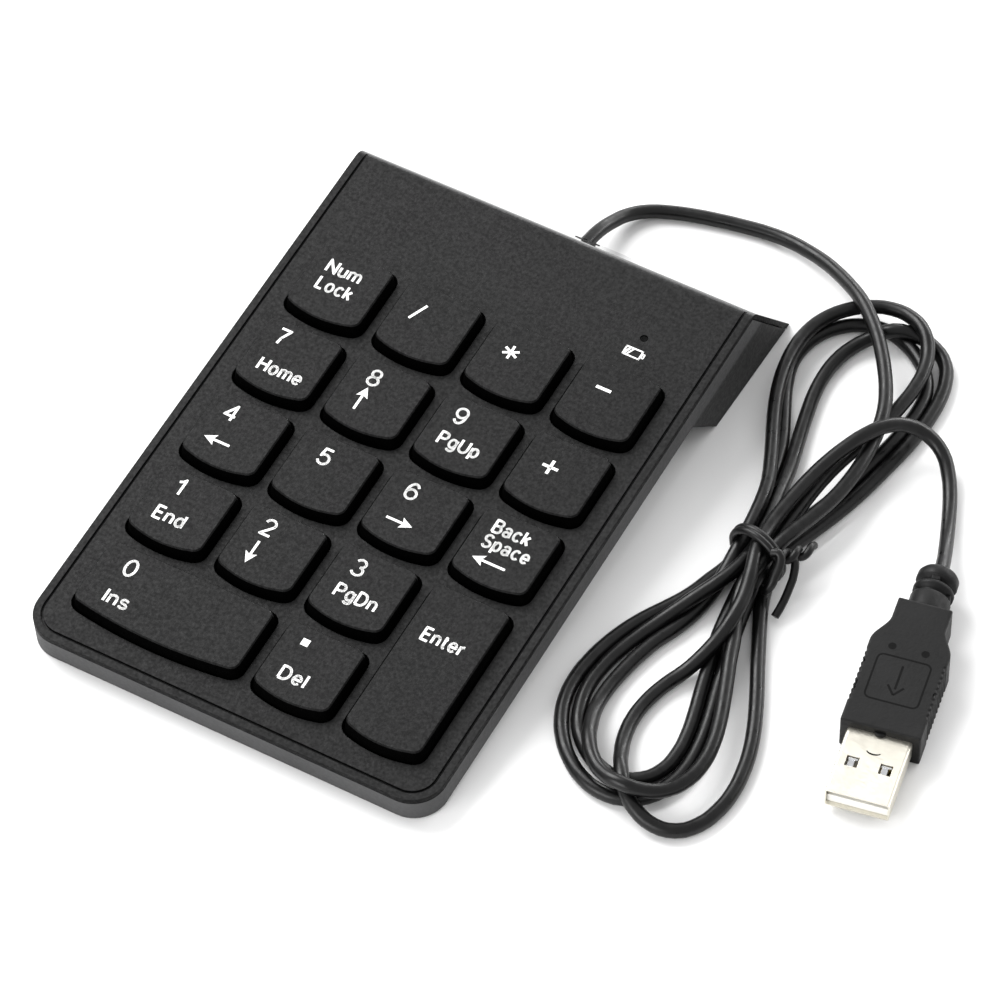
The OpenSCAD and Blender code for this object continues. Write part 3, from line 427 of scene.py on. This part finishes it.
def settled(points, rounds=320, step=1.6):
    """The cord's line come to rest: it sinks to the table, and turns that touch push each other apart.

    The turns were measured along a slanting line of sight, so a point that sinks slides along that line."""
    line = spaced(smoothed(points), step)
    home = line.copy()
    n = len(line)
    near = round(3.2 * CORD_D / step)
    held = np.zeros(n, bool)
    held[:3] = held[-3:] = True
    index = np.arange(n)
    for turn_no in range(rounds):
        if turn_no % 8 == 0:
            gaps = np.linalg.norm(line[:, None] - line[None], axis=2)
            a, b = np.nonzero((gaps < CORD_D * 1.6) & (index[None] - index[:, None] > near))
        line[~held, 2] -= 0.008
        away = line[b] - line[a]
        far = np.maximum(np.linalg.norm(away, axis=1), 1e-6)
        push = np.maximum(CORD_D * 1.01 - far, 0) / far * 0.45
        shift = np.zeros_like(line)
        count = np.zeros(n)
        np.add.at(shift, a, -away * push[:, None])
        np.add.at(shift, b, away * push[:, None])
        np.add.at(count, a, push > 0)
        np.add.at(count, b, push > 0)
        line += np.where(held[:, None], 0, shift / np.maximum(count, 1)[:, None] * 1.5)
        middle = (line[:-2] + line[2:]) / 2 - line[1:-1]
        stiff = middle.copy()
        stiff[1:-1] -= (middle[:-2] + middle[2:]) / 2
        line[1:-1] += np.where(held[1:-1, None], 0, stiff * 0.35)
        wide = (line[:-6] + line[6:]) / 2 - line[3:-3]
        line[3:-3] += np.where(held[3:-3, None], 0, wide * 0.06)
        aim = home[:, :2] + (line[:, 2:] - home[:, 2:]) * SIGHT
        line[:, :2] += (aim - line[:, :2]) * 0.07
        line[:, 2] += (home[:, 2] - line[:, 2]) * 0.04
        line[:, 2] = np.maximum(line[:, 2], CORD_R)
        line[held] = home[held]
    return line


centre = settled(np.array(route, float))

def tube_curve(name, points, radius, slot, stride=1):
    """A round cord along points, in mm, through every stride-th of them."""
    curve = bpy.data.curves.new(name, "CURVE")
    curve.dimensions = "3D"
    curve.bevel_depth = radius * MM
    curve.bevel_resolution = 4
    curve.use_fill_caps = True
    curve.resolution_u = 3
    spline = curve.splines.new("BEZIER")
    chosen = list(points[:-1:stride]) + [points[-1]]
    spline.bezier_points.add(len(chosen) - 1)
    for point, at in zip(spline.bezier_points, chosen):
        point.co = Vector(at) * MM
        point.handle_left_type = point.handle_right_type = "AUTO"
    return piece(name, curve, "housing", slot)


cord = tube_curve("usb_cord", centre, CORD_R, "cable_pvc", stride=3)
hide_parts("cord_lead", "cord_hank", "cord_to_plug")

# ---------------------------------------------------------------- twist tie


TIE_R = 0.78
TIE_Y = 12.0
TIE_SLANT = -1.4
TWIST_STEPS = 18
TWIST_TURN = 520


def loop_round(centre_x, low, high, half_w, n=24):
    """A band round the bundle, almost in the plane y = TIE_Y, as an open list of points."""
    points = []
    for k in range(n + 1):
        angle = math.radians(-100 + 340 * k / n)
        x = centre_x + half_w * math.cos(angle)
        z = (low + high) / 2 + (high - low) / 2 * math.sin(angle)
        points.append((x, TIE_Y + TIE_SLANT * math.cos(angle), max(z, TIE_R)))
    return points


bundle = centre[np.abs(centre[:, 1] - 14) < 1.5]
bundle = bundle[np.abs(bundle[:, 0] - 65) < 9]
lo, hi = bundle.min(0) - CORD_R, bundle.max(0) + CORD_R
mid_x, half_w = (lo[0] + hi[0]) / 2, (hi[0] - lo[0]) / 2 + TIE_R * 0.8
side_x = mid_x + half_w


def from_side(*places):
    """Points whose x is counted from the tie's right side."""
    return [(side_x + x, y, z) for x, y, z in places]


band = loop_round(mid_x + 0.5, lo[2] - TIE_R * 0.6, hi[2] + TIE_R * 0.7, half_w)
tie = tube_curve("tie_band", band, TIE_R, "tie_pvc")
second = [(x, y + 1.1, max(z - 0.25, TIE_R)) for x, y, z in band]
tie_second = tube_curve("tie_band_second", second, TIE_R, "tie_pvc")
twist_start, twist_end = (Vector(place) for place in from_side((-0.4, 10.6, 8.4), (4.0, 18.3, 5.6)))
twist_a, twist_b = [], []
for k in range(TWIST_STEPS + 1):
    along = k / TWIST_STEPS
    phase = math.radians(TWIST_TURN * along)
    base = twist_start.lerp(twist_end, along)
    off = Vector((0.62 * math.cos(phase), -0.45 * math.cos(phase), 0.75 * math.sin(phase)))
    twist_a.append(base + off)
    twist_b.append(base - off)
end_a = tube_curve("tie_end_twisted", twist_a, TIE_R, "tie_pvc")
end_b = tube_curve("tie_end_twisted_2", twist_b[:12], TIE_R, "tie_pvc")
tail = from_side((0.6, 13.6, 7.4), (2.0, 13.4, 6.8), (3.1, 11.4, 5.4), (3.5, 8.6, 3.8), (3.6, 5.6, 2.4),
                 (3.4, 3.6, 1.4))
tail_end = tube_curve("tie_tail", tail, TIE_R, "tie_pvc")
knot_line = from_side((-1.2, 10.6, 9.6), (0.2, 10.8, 9.9), (1.0, 9.6, 8.9), (1.0, 7.8, 7.4), (0.9, 6.4, 6.0),
                      (0.2, 5.8, 4.8), (-0.6, 6.2, 4.2))
knot = tube_curve("tie_knot", knot_line, TIE_R * 1.15, "tie_pvc")
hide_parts("twist_tie")

# ---------------------------------------------------------------- legends

slab = Matrix.Translation((0, SLAB_FRONT_Y * MM, SLAB_LIFT * MM)) @ Matrix.Rotation(TILT, 4, "X")
PITCH, FRONT_ROW = 19.05, 14.95
CAP_TOP, PLATE_TOP = 8.4, 6.0
# how far a printed or moulded mark stands proud
INK = 0.012


def flat_mesh(name, shapes, h, body):
    """Thin printed shapes: lists of outline points (x, s) in mm, lying h above the slab's underside."""
    mesh = bpy.data.meshes.new(name)
    points, faces = [], []
    for shape in shapes:
        faces.append(list(range(len(points), len(points) + len(shape))))
        points += [slab @ Vector((x * MM, s * MM, (h + INK) * MM)) for x, s in shape]
    mesh.from_pydata(points, [], faces)
    return piece(name, mesh, body, "legend_ink")


def stroke(x0, s0, x1, s1, w):
    """A straight line of width w, as one outline."""
    length = math.hypot(x1 - x0, s1 - s0)
    nx, ns = -(s1 - s0) / length * w / 2, (x1 - x0) / length * w / 2
    return [(x0 + nx, s0 + ns), (x0 - nx, s0 - ns), (x1 - nx, s1 - ns), (x1 + nx, s1 + ns)]


def disc(x, y, r, n=20):
    return [(x + r * math.cos(2 * math.pi * k / n), y + r * math.sin(2 * math.pi * k / n)) for k in range(n)]


def arc(cx, cy, rx, ry, a0, a1):
    """Points along part of an ellipse, from angle a0 to angle a1 in degrees."""
    n = max(3, round(abs(a1 - a0) / 18))
    angles = [math.radians(a0 + (a1 - a0) * k / n) for k in range(n + 1)]
    return [(cx + rx * math.cos(t), cy + ry * math.sin(t)) for t in angles]


def arch(x0, x1):
    return arc((x0 + x1) / 2, 0.46, (x1 - x0) / 2, 0.24, 180, 0) + [(x1, 0)]


# each letter's width and the lines that it is drawn with, for capitals 1 high
GLYPHS = {
    "N": (0.7, [[(0, 0), (0, 1), (0.7, 0), (0.7, 1)]]),
    "u": (0.5, [[(0, 0.7)] + arc(0.25, 0.25, 0.25, 0.25, 180, 360), [(0.5, 0.7), (0.5, 0)]]),
    "m": (0.84, [[(0, 0), (0, 0.7)], arch(0, 0.42), arch(0.42, 0.84)]),
    "n": (0.5, [[(0, 0), (0, 0.7)], arch(0, 0.5)]),
    "L": (0.5, [[(0, 1), (0, 0), (0.5, 0)]]),
    "o": (0.54, [arc(0.27, 0.35, 0.27, 0.35, 0, 360)]),
    "c": (0.49, [arc(0.27, 0.35, 0.27, 0.35, 42, 318)]),
    "k": (0.46, [[(0, 0), (0, 1)], [(0.43, 0.7), (0.02, 0.28)], [(0.17, 0.42), (0.46, 0)]]),
    "H": (0.66, [[(0, 0), (0, 1)], [(0.66, 0), (0.66, 1)], [(0, 0.52), (0.66, 0.52)]]),
    "e": (0.52, [[(0.02, 0.36), (0.52, 0.36)] + arc(0.26, 0.36, 0.26, 0.35, 8, 318)]),
    "P": (0.6, [[(0, 0), (0, 1), (0.32, 1)] + arc(0.32, 0.73, 0.28, 0.27, 90, -90) + [(0, 0.46)]]),
    "g": (0.52, [arc(0.26, 0.36, 0.26, 0.34, 0, 360),
                 [(0.52, 0.7), (0.52, -0.05)] + arc(0.26, -0.05, 0.26, 0.22, 0, -155)]),
    "U": (0.66, [[(0, 1)] + arc(0.33, 0.32, 0.33, 0.32, 180, 360) + [(0.66, 1)]]),
    "p": (0.52, [[(0, 0.7), (0, -0.27)], arc(0.27, 0.35, 0.25, 0.35, 0, 360)]),
    "B": (0.62, [[(0, 0), (0, 1), (0.34, 1)] + arc(0.34, 0.77, 0.24, 0.23, 90, -90) + [(0, 0.54)],
                 [(0.34, 0.54)] + arc(0.34, 0.27, 0.28, 0.27, 90, -90) + [(0, 0)]]),
    "a": (0.52, [arc(0.25, 0.5, 0.23, 0.2, 165, 0) + [(0.48, 0.1), (0.52, 0)],
                 arc(0.22, 0.19, 0.22, 0.19, 0, 360)]),
    "S": (0.6, [arc(0.3, 0.75, 0.28, 0.25, 25, 270) + arc(0.3, 0.25, 0.3, 0.25, 80, -160)]),
    "E": (0.56, [[(0.55, 1), (0, 1), (0, 0), (0.56, 0)], [(0, 0.52), (0.5, 0.52)]]),
    "d": (0.52, [[(0.52, 1), (0.52, 0)], arc(0.26, 0.35, 0.26, 0.35, 0, 360)]),
    "I": (0.0, [[(0, 0), (0, 1)]]),
    "s": (0.46, [arc(0.23, 0.53, 0.21, 0.17, 25, 270) + arc(0.23, 0.18, 0.23, 0.18, 80, -160)]),
    "t": (0.28, [[(0.12, 0.92), (0.12, 0.16)] + arc(0.27, 0.16, 0.15, 0.16, 180, 270),
                 [(0, 0.7), (0.28, 0.7)]]),
    "r": (0.28, [[(0, 0), (0, 0.7)], arc(0.27, 0.42, 0.27, 0.28, 180, 85)]),
    "D": (0.66, [[(0, 0), (0, 1), (0.28, 1)] + arc(0.28, 0.5, 0.38, 0.5, 90, -90) + [(0, 0)]]),
    "l": (0.0, [[(0, 0), (0, 1)]]),
    "0": (0.58, [arc(0.29, 0.5, 0.29, 0.5, 0, 360)]),
    "1": (0.28, [[(0, 0.76), (0.17, 0.84), (0.28, 1), (0.28, 0)]]),
    "2": (0.58, [arc(0.29, 0.72, 0.27, 0.28, 170, -25) + [(0.01, 0), (0.58, 0)]]),
    "3": (0.57, [arc(0.28, 0.76, 0.25, 0.24, 160, -80), arc(0.28, 0.27, 0.29, 0.27, 85, -162)]),
    "4": (0.62, [[(0.46, 0), (0.46, 1), (0, 0.3), (0.62, 0.3)]]),
    "5": (0.57, [[(0.53, 1), (0.12, 1), (0.05, 0.52)] + arc(0.28, 0.32, 0.29, 0.32, 130, -160)]),
    "6": (0.58, [arc(0.29, 0.31, 0.29, 0.31, 0, 360), [(0, 0.31)] + arc(0.29, 0.5, 0.29, 0.5, 180, 38)]),
    "7": (0.56, [[(0, 1), (0.56, 1), (0.26, 0.4), (0.2, 0)]]),
    "8": (0.58, [arc(0.29, 0.76, 0.24, 0.24, 0, 360), arc(0.29, 0.27, 0.29, 0.27, 0, 360)]),
    "9": (0.58, [arc(0.29, 0.69, 0.29, 0.31, 0, 360), [(0.58, 0.69)] + arc(0.29, 0.5, 0.29, 0.5, 0, -142)]),
    "/": (0.36, [[(0, 0), (0.36, 1)]]),
    "*": (0.8, [[(0.4, 0), (0.4, 1)], [(0, 0.27), (0.8, 0.73)], [(0, 0.73), (0.8, 0.27)]]),
}
LETTER_STEP = 0.3
DESCENT = 0.27
LETTER_LINE = 0.5


def written(name, text, x, s, width, height, body):
    """A word in plain bold letters on a key: its middle is at x, s and its capitals are height mm high."""
    descent = DESCENT if set(text) & set("gp") else 0
    run = sum(GLYPHS[letter][0] for letter in text) + LETTER_STEP * (len(text) - 1)
    across = (width - LETTER_LINE) / run
    upright = height - LETTER_LINE
    shapes = []
    start = x - (width - LETTER_LINE) / 2
    low = s - upright * (1 - descent) / 2
    for letter in text:
        glyph_width, lines = GLYPHS[letter]
        for points in lines:
            placed = [(start + u * across, low + v * upright) for u, v in points]
            for a, b in zip(placed, placed[1:]):
                if math.dist(a, b) > 0.001:
                    shapes.append(stroke(*a, *b, LETTER_LINE))
            shapes += [disc(*point, LETTER_LINE / 2, 10) for point in placed[1:-1]]
        start += (glyph_width + LETTER_STEP) * across
    return flat_mesh(name, shapes, CAP_TOP, body)


ARROW_HEAD = 2.4
ARROW_SHAFT = 0.5


def arrow(x, s, length, angle):
    """Outlines of an arrow with its middle at x, s."""
    half = length / 2
    neck = half - ARROW_HEAD * 0.8
    barb = half - ARROW_HEAD
    edge = ARROW_SHAFT / 2
    raw = [[(-half, -edge), (neck, -edge), (neck, edge), (-half, edge)],
           [(barb, -ARROW_HEAD / 2), (half, 0), (barb, ARROW_HEAD / 2), (half - ARROW_HEAD * 0.78, 0)]]
    c, q = math.cos(math.radians(angle)), math.sin(math.radians(angle))
    return [[(x + u * c - v * q, s + u * q + v * c) for u, v in shape] for shape in raw]


def cell(column, row):
    """The middle of a key's square in the grid, in the slab's x and s."""
    return (column - 1.5) * PITCH, FRONT_ROW + (4 - row) * PITCH + 1.3


DIGIT_H, CAP_H = 3.95, 3.2
words = {
    "num_lock": (0, 0, [("Num", -0.8, 2.43, 7.4, CAP_H), ("Lock", -0.5, -1.77, 7.6, CAP_H)]),
    "divide": (1, 0, [("/", -2.9, 0.6, 2.3, 4.5)]),
    "multiply": (2, 0, [("*", -1.94, 0.4, 3.4, 3.6)]),
    "7": (0, 1, [("7", -3.45, 2.99, 2.5, DIGIT_H), ("Home", 0.2, -3.99, 9.3, CAP_H)]),
    "8": (1, 1, [("8", -2.43, 2.72, 2.6, DIGIT_H)]),
    "9": (2, 1, [("9", -2.97, 2.53, 2.6, DIGIT_H), ("PgUp", -0.11, -3.62, 8.6, CAP_H)]),
    "4": (0, 2, [("4", -2.96, 2.73, 2.7, DIGIT_H)]),
    "5": (1, 2, [("5", -1.6, 2.1, 2.6, DIGIT_H)]),
    "6": (2, 2, [("6", -2.5, 2.77, 2.6, DIGIT_H)]),
    "backspace": (3, 2, [("Back", -0.81, 3.17, 7.7, CAP_H), ("Space", 0.0, -0.78, 9.7, CAP_H)]),
    "1": (0, 3, [("1", -2.88, 3.1, 1.6, DIGIT_H), ("End", -1.04, -3.47, 6.4, CAP_H)]),
    "2": (1, 3, [("2", -2.69, 2.8, 2.6, DIGIT_H)]),
    "3": (2, 3, [("3", -2.67, 2.77, 2.6, DIGIT_H), ("PgDn", 0.09, -3.41, 8.8, CAP_H)]),
    "enter": (3, 4, [("Enter", -0.19, 14.98, 8.7, CAP_H)]),
    "0": (0, 4, [("0", -1.39, 2.53, 2.6, DIGIT_H), ("Ins", -0.11, -4.43, 5.1, CAP_H)]),
    "decimal": (2, 4, [("Del", -1.32, -3.97, 5.6, CAP_H)]),
}
for key, (column, row, rows) in words.items():
    cx, cs = cell(column, row)
    for k, (text, dx, ds, width, height) in enumerate(rows):
        written(f"legend_{key}_{k + 1}", text, cx + dx, cs + ds, width, height, f"key_{key}_body")


def bar(x, s, w, d):
    return [(x - w / 2, s - d / 2), (x + w / 2, s - d / 2), (x + w / 2, s + d / 2), (x - w / 2, s + d / 2)]


shapes = {
    "minus": (3, 0, lambda x, s: [bar(x - 1.65, s + 0.94, 3.1, 0.65)]),
    "plus": (3, 1, lambda x, s: [bar(x - 1.81, s + 0.05, 3.2, 0.6), bar(x - 1.81, s + 0.05, 0.6, 3.2)]),
    "8": (1, 1, lambda x, s: arrow(x - 2.45, s - 2.43, 5.4, 90)),
    "2": (1, 3, lambda x, s: arrow(x - 2.74, s - 3.19, 5.2, -90)),
    "4": (0, 2, lambda x, s: arrow(x - 2.16, s - 3.99, 5.4, 180)),
    "6": (2, 2, lambda x, s: arrow(x - 1.28, s - 4.21, 5.4, 0)),
    "backspace": (3, 2, lambda x, s: arrow(x - 1.44, s - 4.58, 6.8, 180)),
    "decimal": (2, 4, lambda x, s: [bar(x - 3.11, s + 3.31, 1.5, 1.5)]),
}
for key, (column, row, draw) in shapes.items():
    flat_mesh(f"legend_{key}_sign", draw(*cell(column, row)), CAP_TOP, f"key_{key}_body")

BATTERY_X, BATTERY_S = 27.05, 104.7


def frame_lines(x, s, w, d, line):
    """The outline of a rectangle with its middle at x, s."""
    return [bar(x, s + (d - line) / 2, w, line), bar(x, s - (d - line) / 2, w, line),
            bar(x - (w - line) / 2, s, line, d), bar(x + (w - line) / 2, s, line, d)]


def battery(x, s):
    """A small battery sign: a case with its terminal, part full."""
    lines = frame_lines(x - 0.25, s, 3.7, 2.2, 0.32) + frame_lines(x + 1.85, s, 0.7, 1.2, 0.26)
    lines.append(stroke(x - 1.8, s - 0.8, x - 1.1, s + 0.8, 0.45))
    lines.append(stroke(x - 1.2, s - 0.8, x - 0.4, s + 0.8, 0.32))
    return lines


flat_mesh("legend_battery", battery(BATTERY_X, BATTERY_S), PLATE_TOP, "housing")

# ---------------------------------------------------------------- plug

PLUG_PLACE = beside(61.8, -83.4, 4)
PLUG_TURN, PLUG_DIP = math.radians(11), math.radians(2)
plug = (Matrix.Translation(Vector(PLUG_PLACE) * MM) @ Matrix.Rotation(PLUG_TURN, 4, "Z")
        @ Matrix.Rotation(PLUG_DIP, 4, "X"))
GRIP_T = 7.8
NECK_END = 29.5
RIB_START, RIB_END, RIB_PITCH, RIB_DEPTH = 4.6, 17.0, 1.24, 0.16


def plug_mesh(name, points, faces, slot, bevel=0.0):
    mesh = bpy.data.meshes.new(name)
    mesh.from_pydata([plug @ (Vector(p) * MM) for p in points], [], faces)
    mesh.update()
    obj = piece(name, mesh, "housing", slot)
    if bevel:
        rounding = obj.modifiers.new("rounding", "BEVEL")
        rounding.width = bevel * MM
        rounding.segments = 3
        rounding.limit_method = "ANGLE"
        rounding.angle_limit = math.radians(50)
    return obj


def prism(outline, low, high):
    """Points and faces of an outline drawn out from z = low to z = high."""
    n = len(outline)
    points = [(x, y, z) for z in (low, high) for x, y in outline]
    walls = [(k, (k + 1) % n, n + (k + 1) % n, n + k) for k in range(n)]
    return points, [tuple(range(n))[::-1], tuple(range(n, 2 * n)), *walls]


def grip_half_width(y):
    """Half the grip's width, y mm from its shell end: straight ribbed sides, then shoulders and a neck."""
    ease = min(max((y - 19.0) / 6.0, 0), 1)
    width = 7.5 - 2.4 * (3 * ease ** 2 - 2 * ease ** 3)
    if RIB_START < y < RIB_END:
        width -= RIB_DEPTH * (1 - math.cos((y - RIB_START) * 2 * math.pi / RIB_PITCH))
    return width


plain_y, shoulder_y = np.arange(0, 4.6, 1.15), np.arange(17.6, NECK_END - 0.5, 0.6)
ribbed_y = np.arange(RIB_START, RIB_END + 0.01, RIB_PITCH / 8)
rows_y = list(np.concatenate([plain_y, ribbed_y, shoulder_y, [NECK_END]]))
outline = [(grip_half_width(y), y) for y in rows_y] + [(-grip_half_width(y), y) for y in rows_y[::-1]]
grip_points, grip_faces = prism(outline, -GRIP_T / 2, GRIP_T / 2)
grip = plug_mesh("plug_grip_moulding", grip_points, grip_faces, "grip_pvc", 0.9)
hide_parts("plug_grip")

# the strain relief: how far back each ring lies, and its radius
profile = [(29.0, 3.6), (32.9, 3.7), (33.2, 3.6), (33.4, 2.9), (34.2, 2.9), (34.4, 3.7), (35.2, 3.75),
           (35.6, 3.5), (35.7, 2.6), (36.5, 2.6), (36.6, 3.6), (37.0, 3.8), (38.5, 3.75), (39.2, 3.3),
           (39.5, 2.4), (39.5, 1.3)]
ROUND = 32
relief_points, relief_faces = [], []
for y, r in profile:
    for k in range(ROUND):
        angle = 2 * math.pi * k / ROUND
        relief_points.append((r * 1.04 * math.cos(angle), y, r * math.sin(angle)))
for row in range(len(profile) - 1):
    for k in range(ROUND):
        a, b = row * ROUND + k, row * ROUND + (k + 1) % ROUND
        relief_faces.append((a, b, b + ROUND, a + ROUND))
relief = plug_mesh("plug_relief", relief_points, relief_faces, "grip_pvc")
relief.data.shade_smooth()


def block(x0, x1, y0, y1, z0, z1):
    return prism([(x0, y0), (x1, y0), (x1, y1), (x0, y1)], z0, z1)


def together(blocks):
    """The points and faces of several blocks as one mesh."""
    points, faces = [], []
    for block_points, block_faces in blocks:
        faces += [tuple(k + len(points) for k in face) for face in block_faces]
        points += block_points
    return points, faces


bridges = [block(-0.8, 0.8, 35.6, 36.7, -3.5, 3.5), block(1.7, 3.5, 33.2, 34.5, -1.6, 1.6),
           block(-3.5, -1.7, 33.2, 34.5, -1.6, 1.6)]
bridge = plug_mesh("plug_relief_bridges", *together(bridges), "grip_pvc", 0.2)


def on_face(name, shapes, z, slot):
    """Thin outlines lying on the plug at height z."""
    points, faces = [], []
    for shape in shapes:
        faces.append(list(range(len(points), len(points) + len(shape))))
        points += [(x, y, z) for x, y in shape]
    return plug_mesh(name, points, faces, slot)


def rounded_ring(x, y, w, d, r, line, steps=5):
    """A rounded rectangle drawn as a line, in short four-cornered pieces."""
    rim = []
    for quarter, (cx, cy) in enumerate(((1, 1), (-1, 1), (-1, -1), (1, -1))):
        for k in range(steps + 1):
            angle = math.radians(90 * quarter + 90 * k / steps)
            rim.append((x + cx * (w / 2 - r), y + cy * (d / 2 - r), math.cos(angle), math.sin(angle)))
    inner = [(a + c * (r - line), b + q * (r - line)) for a, b, c, q in rim]
    outer = [(a + c * r, b + q * r) for a, b, c, q in rim]
    n = len(rim)
    return [[outer[k], outer[(k + 1) % n], inner[(k + 1) % n], inner[k]] for k in range(n)]


# the moulded marks: a frame, an arrow towards the metal shell and two dots, laid on as thin near-black shapes
# that are painted shade of their moulded relief
marks = rounded_ring(0, 11.2, 10.3, 10.5, 1.3, 0.36)
marks += [stroke(0, 14.6, 0, 9.2, 0.42), stroke(0, 7.9, -1.5, 9.9, 0.42), stroke(0, 7.9, 1.5, 9.9, 0.42)]
marks += [disc(-3.1, 18.4, 0.75), disc(3.1, 18.4, 0.75)]
moulded_marks = on_face("plug_moulded_marks", marks, GRIP_T / 2 + INK, "moulded_shadow")
tab_outline = []
for degrees in range(0, 181, 15):
    angle = math.radians(degrees)
    tab_outline.append((1.1 * math.cos(angle), -0.8 * math.sin(angle) + 0.1))
tab = plug_mesh("plug_grip_tab", *prism(tab_outline, 1.5, 2.9), "grip_pvc", 0.15)
tongues = []
for x in (-3.1, 3.1):
    tongues.append(block(x - 0.75, x + 0.35, -8.2, -6.2, 1.55, 1.65))
    tongues.append(block(x - 0.9, x + 0.9, -6.5, -6.1, 1.4, 1.9))
tongue = plug_mesh("plug_spring_tongues", *together(tongues), "spring_steel")


def crescent_edge(half_w, middle, depth, degrees):
    """Points along one edge of the curved mark in the shell."""
    angles = [math.radians(a) for a in degrees]
    return [(half_w * math.cos(t), middle + depth * math.sin(t)) for t in angles]


# painted shade: the dimple's hollow is drawn as a near-black crescent on the shell
crescent = crescent_edge(1.35, -4.0, 0.75, range(190, 351, 10))
crescent += crescent_edge(1.2, -3.95, 0.45, range(350, 189, -10))
dimple = on_face("plug_shell_dimple", [crescent], 2.262, "moulded_shadow")

# ---------------------------------------------------------------- floor

mesh = bpy.data.meshes.new("floor")
mesh.from_pydata([(-3, -3, 0), (3, -3, 0), (3, 3, 0), (-3, 3, 0)], [], [[0, 1, 2, 3]])
floor = bpy.data.objects.new("floor", mesh)
scene.collection.objects.link(floor)
floor_look = Shader("floor_paper")
floor_look.set(Base_Color=(0.86, 0.86, 0.86), Roughness=0.9)
mesh.materials.append(floor_look.material)
